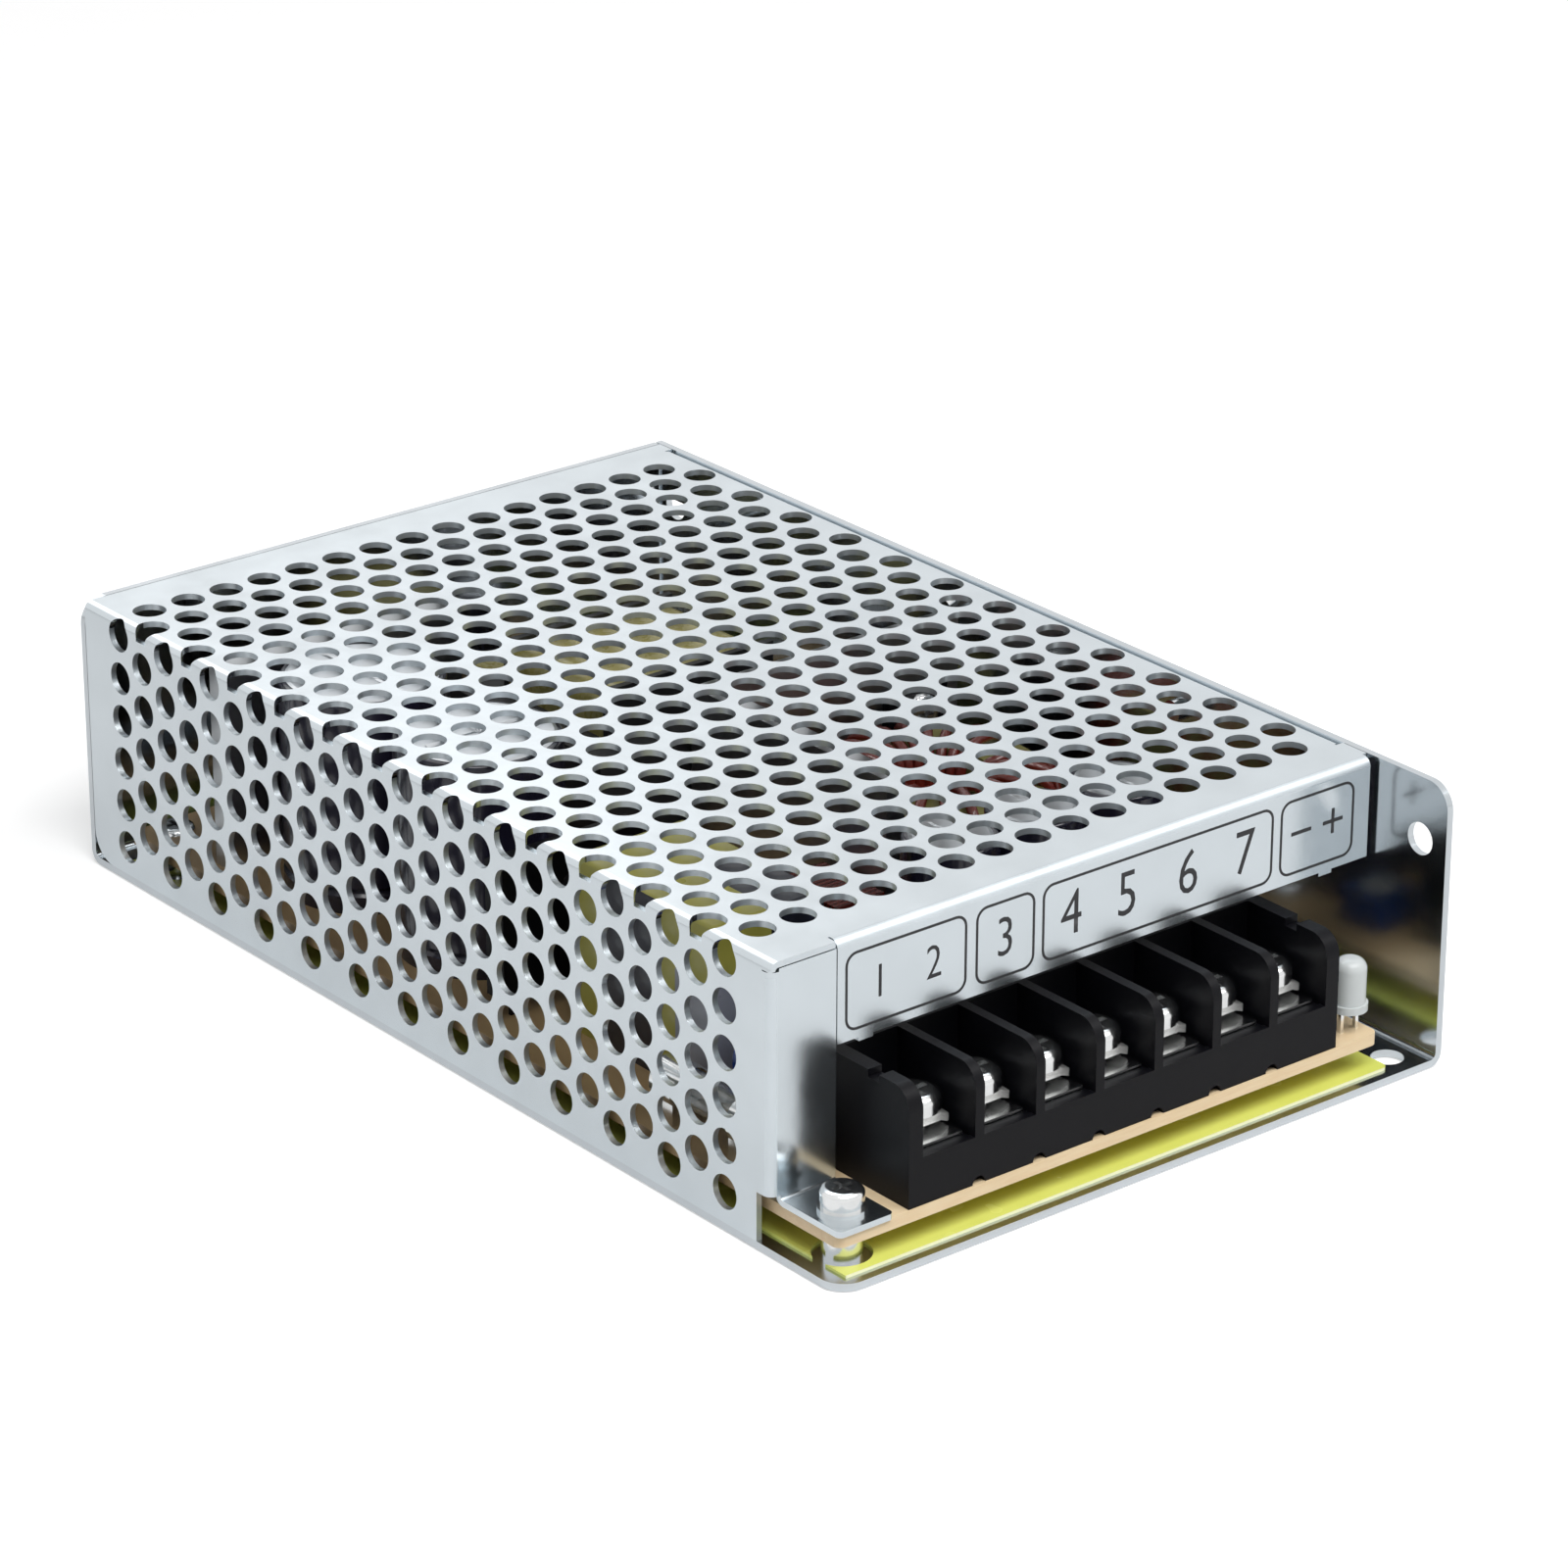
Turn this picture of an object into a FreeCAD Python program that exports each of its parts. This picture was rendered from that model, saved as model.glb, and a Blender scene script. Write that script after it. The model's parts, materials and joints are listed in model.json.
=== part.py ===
import FreeCAD, Part
import math
import os

import Sketcher
from FreeCAD import Placement, Rotation, Vector

# Mesh case switching power supply, in millimetres. X runs across the case, Y from the open front to the rear
# and Z up.
# The origin is the middle of the case's underside. Places are given from the case's left outer face, its front
# edge and its underside, so that they read like a drawing.

doc = FreeCAD.newDocument("mesh_case_supply")
sheet = doc.addObject("Spreadsheet::Sheet", "Sizes")

# Driving dimensions: alias, value, what it is
DIMENSIONS = [
    ("case_width", 98, "overall width"),
    ("case_length", 159, "overall length"),
    ("case_height", 38, "overall height"),
    ("chassis_sheet", 1.0, "chassis sheet thickness"),
    ("chassis_bend", 0.8, "chassis inner bend radius"),
    ("chassis_corner", 3.5, "rounded corner of the chassis sheet"),
    ("corner_gap", 0.3, "gap between the chassis walls at the rear right corner"),
    ("mount_hole", 4.3, "diameter of the mounting holes"),
    ("wall_hole_inset", 4.5, "wall mounting holes from the ends"),
    ("wall_hole_height", 29.7, "wall mounting holes above the underside"),
    ("base_hole_inset", 4.1, "bottom mounting hole from the front edge"),
    ("base_hole_rear", 6.5, "bottom mounting hole from the rear face"),
    ("base_hole_side", 5.4, "bottom mounting holes from the right wall's outer face"),
    ("cover_sheet", 0.8, "cover sheet thickness"),
    ("cover_bend", 0.4, "cover inner bend radius"),
    ("cover_front", 12.9, "cover front face from the case's front edge"),
    ("cover_gap", 0.1, "gap between the cover and the chassis walls"),
    ("seam_gap", 0.15, "open seam between the cover's folds"),
    ("relief_length", 1.5, "length of the cover's bend reliefs"),
    ("relief_width", 0.3, "width of the cover's bend reliefs"),
    ("lip_height", 13.4, "height of the front lip"),
    ("lip_left", 10.1, "left end of the front lip"),
    ("lip_wall_gap", 0.8, "gap between the lip and the right wall"),
    ("nib_height", 0.5, "shearing nibs below the lip"),
    ("nib_width", 2.2, "width of a shearing nib"),
    ("nib_left_place", 14.5, "left nib from the left face"),
    ("nib_right_place", 89.0, "right nib from the left face"),
    ("side_notch_depth", 2.5, "how far the side's lower front edge stands behind the flange"),
    ("side_corner", 4.0, "rounded lower rear corner of the cover's side"),
    ("foot_left", 1.6, "left edge of the foot"),
    ("foot_front", 2.0, "front edge of the foot"),
    ("foot_corner", 0.8, "rounded corners of the foot"),
    ("return_depth", 7.0, "fold along the cover's right edge"),
    ("return_front", 6.0, "start of that fold behind the cover's front"),
    ("return_rear", 3.0, "end of that fold before the cover's rear"),
    ("hole_diameter", 4.5, "mesh hole"),
    ("hole_pitch", 6.1, "mesh holes along a row"),
    ("row_pitch", 5.35, "mesh rows"),
    ("row_count", 25, "mesh rows from front to rear"),
    ("top_holes", 15, "holes across the top in an even row"),
    ("side_holes", 6, "holes up the side in an even row"),
    ("first_row", 8.5, "first mesh row behind the cover's front"),
    ("first_hole", 5.0, "first top hole from the left face"),
    ("fold_hole_reach", 1.8, "how deep a hole that touches the fold is punched past the outer face"),
    ("film_left", 2.3, "insulating sheet's left edge"),
    ("film_right", 90.4, "insulating sheet's right edge"),
    ("film_front", 1.6, "insulating sheet's front edge"),
    ("film_rear", 153.0, "insulating sheet's rear edge"),
    ("film_thickness", 0.35, "insulating sheet's thickness"),
    ("film_hole", 7.4, "insulating sheet's hole round a standoff"),
    ("film_corner", 1.0, "insulating sheet's right front corner"),
    ("board_left", 1.8, "circuit board's left edge"),
    ("board_right", 89.2, "circuit board's right edge"),
    ("board_front", 2.4, "circuit board's front edge"),
    ("board_rear", 152.0, "circuit board's rear edge"),
    ("board_thickness", 1.6, "circuit board's thickness"),
    ("board_corner", 1.2, "circuit board's rounded corners"),
    ("standoff_height", 3.6, "board above the chassis bottom"),
    ("standoff_diameter", 5.0, "standoff outside"),
    ("standoff_x1", 5.8, "left standoffs from the left face"),
    ("standoff_x2", 84.5, "right standoffs from the left face"),
    ("standoff_y1", 6.6, "front left standoff from the front"),
    ("standoff_y2", 40.5, "front right standoff from the front"),
    ("standoff_y3", 147.0, "rear standoffs from the front"),
    ("small_screw", 3.0, "thread of the small screws"),
    ("small_screw_hole", 3.4, "clearance hole for the small screws"),
    ("small_head", 5.4, "small pan head diameter"),
    ("small_head_height", 1.7, "small pan head height"),
    ("small_screw_length", 5.0, "board screw below its head"),
    ("foot_screw_length", 6.5, "foot screw below its head"),
    ("recess_span", 2.8, "cross recess of the small screws"),
    ("recess_width", 0.6, "arm of a cross recess"),
    ("recess_depth", 1.2, "depth of a cross recess"),
    ("flat_washer", 6.0, "flat washer outside"),
    ("flat_washer_thickness", 0.5, "flat washer thickness"),
    ("spring_washer", 5.2, "spring washer outside"),
    ("spring_washer_thickness", 0.8, "spring washer thickness"),
    ("spring_washer_slit", 0.5, "spring washer slit"),
    ("cover_screw_head", 5.0, "cover screw's flush head"),
    ("cover_screw_length", 5.0, "cover screw"),
    ("cover_screw_drop", 3.7, "cover screws below the top"),
    ("cover_screw_front", 46.0, "first cover screw from the front"),
    ("cover_screw_pitch", 45.0, "cover screws along the wall"),
    ("block_left", 12.6, "terminal block's left end"),
    ("block_front", 2.6, "terminal block's front face"),
    ("block_depth", 16.4, "terminal block's depth"),
    ("terminal_pitch", 9.5, "terminal pitch"),
    ("terminal_count", 7, "terminals"),
    ("end_wall", 2.1, "terminal block's end walls"),
    ("divider", 1.4, "terminal block's dividers"),
    ("sill_height", 6.3, "front sill above the board"),
    ("sill_width", 1.0, "front sill"),
    ("floor_height", 6.1, "terminal floor above the board"),
    ("divider_height", 15.5, "dividers above the board"),
    ("divider_corner", 3.0, "rounded front top corner of a divider"),
    ("rear_wall", 2.0, "terminal block's rear wall"),
    ("foot_notch", 1.0, "radius of the notches along the block's foot"),
    ("lid_notch_width", 2.0, "notch for a lid's latch in the end walls"),
    ("lid_notch_depth", 1.0, "depth of that notch"),
    ("lid_notch_place", 5.6, "that notch behind the block's front"),
    ("screw_place", 6.9, "terminal screws behind the block's front"),
    ("terminal_screw", 3.5, "terminal screw thread"),
    ("thread_clearance", 0.05, "running clearance round the terminal screw's thread"),
    ("terminal_screw_length", 7.0, "terminal screw below its head"),
    ("terminal_head", 7.0, "terminal screw head diameter"),
    ("terminal_head_height", 2.4, "terminal screw head height"),
    ("terminal_recess", 4.2, "cross recess of the terminal screw"),
    ("terminal_recess_width", 0.9, "arm of that recess"),
    ("clamp_size", 6.6, "square clamp plate"),
    ("clamp_thickness", 1.0, "clamp plate thickness"),
    ("clamp_drop", 0.6, "how far the clamp plate's wings are bent down"),
    ("clamp_wing", 1.5, "width of a clamp plate's wing"),
    ("clamp_hole", 4.0, "hole in the clamp plate"),
    ("clamp_lift", 0.4, "clamp plate's wings above the contact as shipped"),
    ("clamp_float", 0.05, "gap between the clamp plate and the screw head"),
    ("clamp_corner", 0.6, "rounded corners of the clamp plate"),
    ("contact_width", 6.6, "contact strap width"),
    ("contact_sheet", 0.8, "contact strap thickness"),
    ("contact_front", 1.5, "contact strap's front end behind the block's front"),
    ("contact_rear", 12.8, "contact strap's rear leg behind the block's front"),
    ("contact_bend", 0.4, "contact strap's inner bend radius"),
    ("boss_diameter", 5.4, "threaded boss under the strap"),
    ("boss_height", 1.5, "threaded boss below the strap"),
    ("pocket_gap", 0.2, "clearance round the metal in the block"),
    ("bore_floor", 0.7, "plastic left under the screw's bore"),
    ("lamp_x", 86.6, "light from the left face"),
    ("lamp_y", 5.3, "light from the front"),
    ("lamp_diameter", 4.2, "light's lens"),
    ("lamp_rim", 4.8, "light's rim"),
    ("lamp_rim_height", 1.0, "height of the light's rim"),
    ("lamp_height", 7.0, "lens with its rim"),
    ("lamp_stand", 3.0, "lens above the board"),
    ("lead_size", 0.5, "square lead"),
    ("lead_pitch", 2.54, "light's leads"),
    ("trimmer_size", 6.8, "trimmer body"),
    ("trimmer_height", 4.6, "trimmer body height"),
    ("trimmer_row", 1, "mesh row over the trimmer"),
    ("trimmer_hole", 13, "mesh hole over the trimmer"),
    ("rotor_diameter", 4.4, "trimmer rotor"),
    ("rotor_depth", 1.6, "rotor seat in the trimmer"),
    ("rotor_rise", 0.4, "rotor above the trimmer body"),
    ("rotor_clearance", 0.05, "running clearance round the rotor"),
    ("rotor_slot", 0.8, "screwdriver slot"),
    ("can_crimp", 1.2, "electrolytic capacitors' crimp"),
    ("fuse_x", 7.0, "fuse from the left face"),
    ("fuse_y", 21.5, "fuse's front end"),
    ("fuse_lift", 4.6, "fuse axis above the board"),
    ("fuse_length", 20, "fuse length"),
    ("fuse_tube", 4.8, "fuse glass"),
    ("fuse_cap", 5.4, "fuse end cap"),
    ("fuse_cap_length", 5.2, "fuse end cap length"),
    ("clip_sheet", 0.5, "fuse clip sheet"),
    ("clip_width", 4.0, "fuse clip along the fuse"),
    ("disc_thickness", 4.4, "dipped discs' thickness"),
    ("disc_lift", 1.8, "dipped discs above the board"),
    ("disc_pitch", 5.0, "dipped discs' leads"),
    ("disc_lead", 0.8, "dipped discs' lead diameter"),
    ("ntc_x", 27.5, "thermistor from the left face"),
    ("ntc_y", 24.5, "thermistor from the front"),
    ("ntc_diameter", 12, "thermistor"),
    ("surge_x", 17.0, "varistor from the left face"),
    ("surge_y", 32.5, "varistor from the front"),
    ("surge_diameter", 12.5, "varistor"),
    ("safety_diameter", 8.5, "safety capacitors"),
    ("safety_thickness", 3.4, "safety capacitors' thickness"),
    ("safety_x1", 35.5, "first safety capacitor from the left face"),
    ("safety_y1", 36.0, "first safety capacitor from the front"),
    ("safety_x2", 36.5, "second safety capacitor from the left face"),
    ("safety_y2", 72.5, "second safety capacitor from the front"),
    ("box_corner", 0.6, "rounded edges of moulded boxes"),
    ("line_box_x", 11.5, "yellow box capacitor's left side"),
    ("line_box_y", 38.0, "yellow box capacitor's front"),
    ("line_box_width", 17.5, "yellow box capacitor's width"),
    ("line_box_depth", 28.0, "yellow box capacitor's depth"),
    ("line_box_height", 24.0, "yellow box capacitor's height"),
    ("grey_box_x", 35.0, "grey box capacitor's left side"),
    ("grey_box_y", 21.5, "grey box capacitor's front"),
    ("grey_box_width", 18.0, "grey box capacitor's width"),
    ("grey_box_depth", 8.0, "grey box capacitor's depth"),
    ("grey_box_height", 15.0, "grey box capacitor's height"),
    ("choke_x", 33.5, "line choke's left limb"),
    ("choke_y", 45.0, "line choke's front yoke"),
    ("choke_width", 13.0, "line choke core across"),
    ("choke_depth", 22.0, "line choke core along"),
    ("choke_limb", 4.0, "line choke limb"),
    ("choke_lift", 8.0, "line choke core above the board"),
    ("choke_flange", 1.0, "space beside the line choke's windings"),
    ("choke_winding", 1.9, "line choke winding's thickness"),
    ("bridge_x", 5.5, "bridge rectifier's left side"),
    ("bridge_y", 72.5, "bridge rectifier's front"),
    ("bridge_width", 22.0, "bridge rectifier's width"),
    ("bridge_depth", 3.6, "bridge rectifier's thickness"),
    ("bridge_height", 18.5, "bridge rectifier's height"),
    ("bridge_lift", 3.0, "bridge rectifier above the board"),
    ("bulk_x", 17.5, "large capacitors from the left face"),
    ("bulk_y1", 93.5, "first large capacitor from the front"),
    ("bulk_y2", 119.0, "second large capacitor from the front"),
    ("bulk_diameter", 22, "large capacitor"),
    ("bulk_height", 29.5, "large capacitor height"),
    ("output_x", 48.0, "first output capacitor from the left face"),
    ("output_y", 37.0, "output capacitors from the front"),
    ("output_pitch", 13.7, "output capacitors"),
    ("output_diameter", 12.5, "output capacitor"),
    ("output_height", 26.5, "output capacitor height"),
    ("small_can_diameter", 8, "small capacitor"),
    ("small_can_height", 12, "small capacitor height"),
    ("small_x1", 82.5, "first small capacitor from the left face"),
    ("small_y1", 117.0, "first small capacitor from the front"),
    ("small_x2", 82.5, "second small capacitor from the left face"),
    ("small_y2", 128.0, "second small capacitor from the front"),
    ("small_x3", 73.5, "third small capacitor from the left face"),
    ("small_y3", 145.5, "third small capacitor from the front"),
    ("core_x", 36.5, "transformer core's left side"),
    ("core_y", 93.0, "transformer core's front"),
    ("core_width", 38.0, "transformer core across"),
    ("core_depth", 33.0, "transformer core along"),
    ("core_height", 12.0, "transformer core's thickness"),
    ("core_limb", 5.0, "transformer core's outer limb, half its middle limb"),
    ("core_lift", 8.5, "transformer core above the board"),
    ("bobbin_clearance", 0.15, "bobbin round the core"),
    ("bobbin_wall", 1.0, "bobbin wall"),
    ("cheek_rise", 7.0, "bobbin cheeks above the core"),
    ("coil_lift", 2.0, "transformer winding above the board"),
    ("coil_step", 0.6, "transformer winding below its cheeks' edge"),
    ("coil_corner", 3.0, "transformer winding's rounded corners"),
    ("ring_x", 71.5, "output choke from the left face"),
    ("ring_y", 67.5, "output choke from the front"),
    ("ring_outside", 29.5, "ring core outside"),
    ("ring_inside", 15.5, "ring core inside"),
    ("ring_height", 14.0, "ring core height"),
    ("ring_wire", 1.6, "output choke's wire"),
    ("ring_lift", 2.5, "output choke above the board"),
    ("tab_thickness", 1.3, "power package's tab"),
    ("package_thickness", 4.6, "power package"),
    ("package_width", 10.2, "power package's width"),
    ("package_case", 9.2, "power package's moulded height"),
    ("package_tab", 6.4, "power package's tab above its case"),
    ("package_lift", 5.0, "power package above the board"),
    ("sink_height", 28.5, "heat sink plates"),
    ("sink_sheet", 3.0, "heat sink plates' thickness"),
    ("second_sink_x", 49.5, "output heat sink's left face"),
    ("second_sink_y", 87.5, "output heat sink's front face"),
    ("second_sink_width", 43.0, "output heat sink across"),
    ("second_sink_depth", 36.5, "output heat sink's forward leg"),
    ("rectifier_x1", 59.0, "first rectifier from the left face"),
    ("rectifier_x2", 84.5, "second rectifier from the left face"),
    ("first_sink_x", 5.0, "input heat sink's left end"),
    ("first_sink_y", 133.0, "input heat sink's front face"),
    ("first_sink_width", 38.5, "input heat sink across"),
    ("transistor_x1", 14.0, "first transistor from the left face"),
    ("transistor_x2", 34.0, "second transistor from the left face"),
    ("chip_width", 6.4, "chip's moulding across"),
    ("chip_height", 3.3, "chip's moulding"),
    ("pin_lift", 0.8, "chips above the board"),
    ("control_x", 46.5, "control chip's left side"),
    ("control_y", 129.0, "control chip's front end"),
    ("control_length", 19.5, "control chip"),
    ("opto_x", 72.0, "optocoupler's left side"),
    ("opto_y", 130.5, "optocoupler's front end"),
    ("opto_length", 5.0, "optocoupler"),
    ("drive_x", 54.5, "drive transformer's left side"),
    ("drive_y", 131.0, "drive transformer's front"),
    ("drive_width", 13.5, "drive transformer across"),
    ("drive_depth", 15.0, "drive transformer along"),
    ("drive_height", 13.0, "drive transformer's height"),
    ("resistor_diameter", 4.6, "power resistor"),
    ("resistor_length", 13.0, "power resistor's length"),
    ("resistor_lift", 4.0, "power resistor's axis above the board"),
    ("resistor_x1", 56.0, "first power resistor's left end"),
    ("resistor_y1", 47.2, "first power resistor from the front"),
    ("resistor_x2", 14.0, "second power resistor's left end"),
    ("resistor_y2", 146.5, "second power resistor from the front"),
    ("snubber_x", 79.5, "olive film part's left side"),
    ("snubber_y", 97.0, "olive film part's front"),
    ("snubber_width", 8.0, "olive film part across"),
    ("snubber_depth", 13.0, "olive film part along"),
    ("snubber_height", 11.0, "olive film part's height"),
]


class Size:
    """A dimension: its number now, and the sheet expression that gives it."""

    def __init__(self, value, text):
        self.value = value
        self.text = text

    def joined(self, sign, other, swapped=False):
        other = as_size(other)
        a, b = (other, self) if swapped else (self, other)
        numbers = {"+": lambda: a.value + b.value, "-": lambda: a.value - b.value,
                   "*": lambda: a.value * b.value, "/": lambda: a.value / b.value}
        return Size(numbers[sign](), f"({a.text} {sign} {b.text})")

    def __add__(self, other):
        return self.joined("+", other)

    def __radd__(self, other):
        return self.joined("+", other, True)

    def __sub__(self, other):
        return self.joined("-", other)

    def __rsub__(self, other):
        return self.joined("-", other, True)

    def __mul__(self, other):
        return self.joined("*", other)

    def __rmul__(self, other):
        return self.joined("*", other, True)

    def __truediv__(self, other):
        return self.joined("/", other)


def as_size(number):
    return number if isinstance(number, Size) else Size(number, f"({number})")


class Sizes:
    """The sheet's named dimensions, as attributes."""


s = Sizes()
for row, (alias, value, meaning) in enumerate(DIMENSIONS, start=1):
    sheet.set(f"A{row}", meaning)
    sheet.set(f"B{row}", str(value))
    sheet.setAlias(f"B{row}", alias)
    setattr(s, alias, Size(value, f"Sizes.{alias}"))
doc.recompute()


def across(place):
    """A place from the case's left outer face."""
    return place - s.case_width / 2


def along(place):
    """A place from the case's front edge."""
    return place - s.case_length / 2


def bind(thing, prop, size):
    thing.setExpression(prop, as_size(size).text)


def put(thing, x, y, z, turn=None):
    """Place a feature; its base point follows the sheet."""
    x, y, z = as_size(x), as_size(y), as_size(z)
    thing.Placement = Placement(Vector(x.value, y.value, z.value), turn or Rotation())
    bind(thing, "Placement.Base.x", x)
    bind(thing, "Placement.Base.y", y)
    bind(thing, "Placement.Base.z", z)
    return thing


TURN = {"X": Rotation(Vector(0, 1, 0), 90), "Y": Rotation(Vector(1, 0, 0), -90), "Z": Rotation()}


def block(name, x, y, z, wide, deep, high):
    """A box from its low corner."""
    box = doc.addObject("Part::Box", name)
    bind(box, "Length", wide)
    bind(box, "Width", deep)
    bind(box, "Height", high)
    return put(box, x, y, z)


def rod(name, x, y, z, diameter, length, axis="Z"):
    """A cylinder from the middle of its low end."""
    cylinder = doc.addObject("Part::Cylinder", name)
    bind(cylinder, "Radius", as_size(diameter) / 2)
    bind(cylinder, "Height", length)
    return put(cylinder, x, y, z, TURN[axis])


def cone(name, x, y, z, low_diameter, high_diameter, length, axis="Z"):
    shape = doc.addObject("Part::Cone", name)
    bind(shape, "Radius1", as_size(low_diameter) / 2)
    bind(shape, "Radius2", as_size(high_diameter) / 2)
    bind(shape, "Height", length)
    return put(shape, x, y, z, TURN[axis])


def joined(name, shapes):
    fuse = doc.addObject("Part::MultiFuse", name)
    fuse.Shapes = shapes
    fuse.Refine = True
    return fuse


def less(name, base, tools):
    tool = tools[0] if len(tools) == 1 else joined(name + "_tools", tools)
    cut = doc.addObject("Part::Cut", name)
    cut.Base = base
    cut.Tool = tool
    return cut


def group(name, shapes):
    """Separate solids that share one node."""
    compound = doc.addObject("Part::Compound", name)
    compound.Links = shapes
    return compound


PLANES = {"XY": ("XY_Plane", 1), "XZ": ("XZ_Plane", -1), "YZ": ("YZ_Plane", 1)}


def body(name):
    return doc.addObject("PartDesign::Body", name)


def sketch_on(owner, name, plane, level):
    """An empty sketch on one of the body's own origin planes, lifted to a level along X, Y or Z."""
    role, sign = PLANES[plane]
    sketch = owner.newObject("Sketcher::SketchObject", name)
    support = next(item for item in owner.Origin.OriginFeatures if item.Role == role)
    sketch.AttachmentSupport = [(support, "")]
    sketch.MapMode = "FlatFace"
    bind(sketch, "AttachmentOffset.Base.z", as_size(level) * sign)
    return sketch


def pin_point(sketch, geometry, end, x, y):
    """Dimension a sketch point from the sketch's origin."""
    for kind, size in (("DistanceX", as_size(x)), ("DistanceY", as_size(y))):
        index = sketch.addConstraint(Sketcher.Constraint(kind, -1, 1, geometry, end, size.value))
        sketch.setExpression(f"Constraints[{index}]", size.text)


def outline(owner, name, plane, level, points):
    """A closed sketch of straight lines through dimensioned corners."""
    sketch = sketch_on(owner, name, plane, level)
    corners = [Vector(as_size(x).value, as_size(y).value, 0) for x, y in points]
    count = len(corners)
    for i in range(count):
        sketch.addGeometry(Part.LineSegment(corners[i], corners[(i + 1) % count]), False)
    for i in range(count):
        sketch.addConstraint(Sketcher.Constraint("Coincident", i, 2, (i + 1) % count, 1))
        pin_point(sketch, i, 1, *points[i])
    return sketch


def rings(owner, name, plane, level, centres, diameter):
    """A sketch of equal circles at dimensioned centres."""
    sketch = sketch_on(owner, name, plane, level)
    radius = as_size(diameter) / 2
    for i, (x, y) in enumerate(centres):
        centre = Vector(as_size(x).value, as_size(y).value, 0)
        sketch.addGeometry(Part.Circle(centre, Vector(0, 0, 1), radius.value), False)
        index = sketch.addConstraint(Sketcher.Constraint("Radius", i, radius.value))
        sketch.setExpression(f"Constraints[{index}]", radius.text)
        pin_point(sketch, i, 3, x, y)
    return sketch


def rectangle(x1, x2, y1, y2):
    return [(x1, y1), (x2, y1), (x2, y2), (x1, y2)]


def pad(owner, name, plane, level, points, length):
    """Add material from a level towards the plus side of the plane's normal."""
    feature = owner.newObject("PartDesign::Pad", name)
    feature.Profile = outline(owner, name + "_sketch", plane, level, points)
    feature.Reversed = PLANES[plane][1] < 0
    bind(feature, "Length", length)
    return feature


def pocket(owner, name, plane, sketch, length):
    """Cut from a sketch towards the plus side of the plane's normal."""
    before = volume_of(owner)
    feature = owner.newObject("PartDesign::Pocket", name)
    feature.Profile = sketch
    feature.Reversed = PLANES[plane][1] > 0
    bind(feature, "Length", length)
    doc.recompute()
    if volume_of(owner) >= before:
        raise RuntimeError(f"{name} cuts nothing")
    return feature


def notch(owner, name, plane, level, points, length):
    return pocket(owner, name, plane, outline(owner, name + "_sketch", plane, level, points), length)


def drill(owner, name, plane, level, centres, diameter, length):
    return pocket(owner, name, plane, rings(owner, name + "_sketch", plane, level, centres, diameter), length)


def volume_of(owner):
    doc.recompute()
    return owner.Shape.Volume


def straight_edges(shape, axis, **places):
    """Names of the straight edges along an axis that pass through the given places."""
    names = []
    for number, edge in enumerate(shape.Edges, start=1):
        if edge.Curve.TypeId != "Part::GeomLine":
            continue
        along_axis = abs(getattr(edge.Curve.Direction, axis.lower())) > 0.999
        middle = edge.CenterOfMass
        if along_axis and all(abs(getattr(middle, key) - as_size(place).value) < 0.01
                              for key, place in places.items()):
            names.append(f"Edge{number}")
    return names


def fillet(owner, name, axis, radius, *corners):
    """Round the edges along an axis at the given places."""
    doc.recompute()
    base = owner.Tip
    names = [edge for places in corners for edge in straight_edges(base.Shape, axis, **places)]
    if not names:
        raise RuntimeError(f"{name} finds no edge")
    feature = owner.newObject("PartDesign::Fillet", name)
    feature.Base = (base, names)
    bind(feature, "Radius", radius)
    return feature


def row_of(owner, name, feature, axis, count, pitch):
    """Repeat a feature along an axis of the body's origin."""
    pattern = owner.newObject("PartDesign::LinearPattern", name)
    pattern.Originals = [feature]
    direction = next(item for item in owner.Origin.OriginFeatures if item.Role == axis + "_Axis")
    pattern.Direction = (direction, [""])
    pattern.Mode = "Spacing"
    bind(pattern, "Occurrences", count)
    bind(pattern, "Offset", pitch)
    owner.Tip = pattern
    return pattern


nodes = {}


def node(thing, label):
    """Name a finished piece; the label is also its file's name."""
    thing.Label = label
    nodes[label] = thing
    return thing


LEFT = across(0)
RIGHT = across(s.case_width)
FRONT = along(0)
REAR = along(s.case_length)
TOP = s.case_height

BOARD_UNDER = s.chassis_sheet + s.standoff_height
BOARD_TOP = BOARD_UNDER + s.board_thickness


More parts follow.
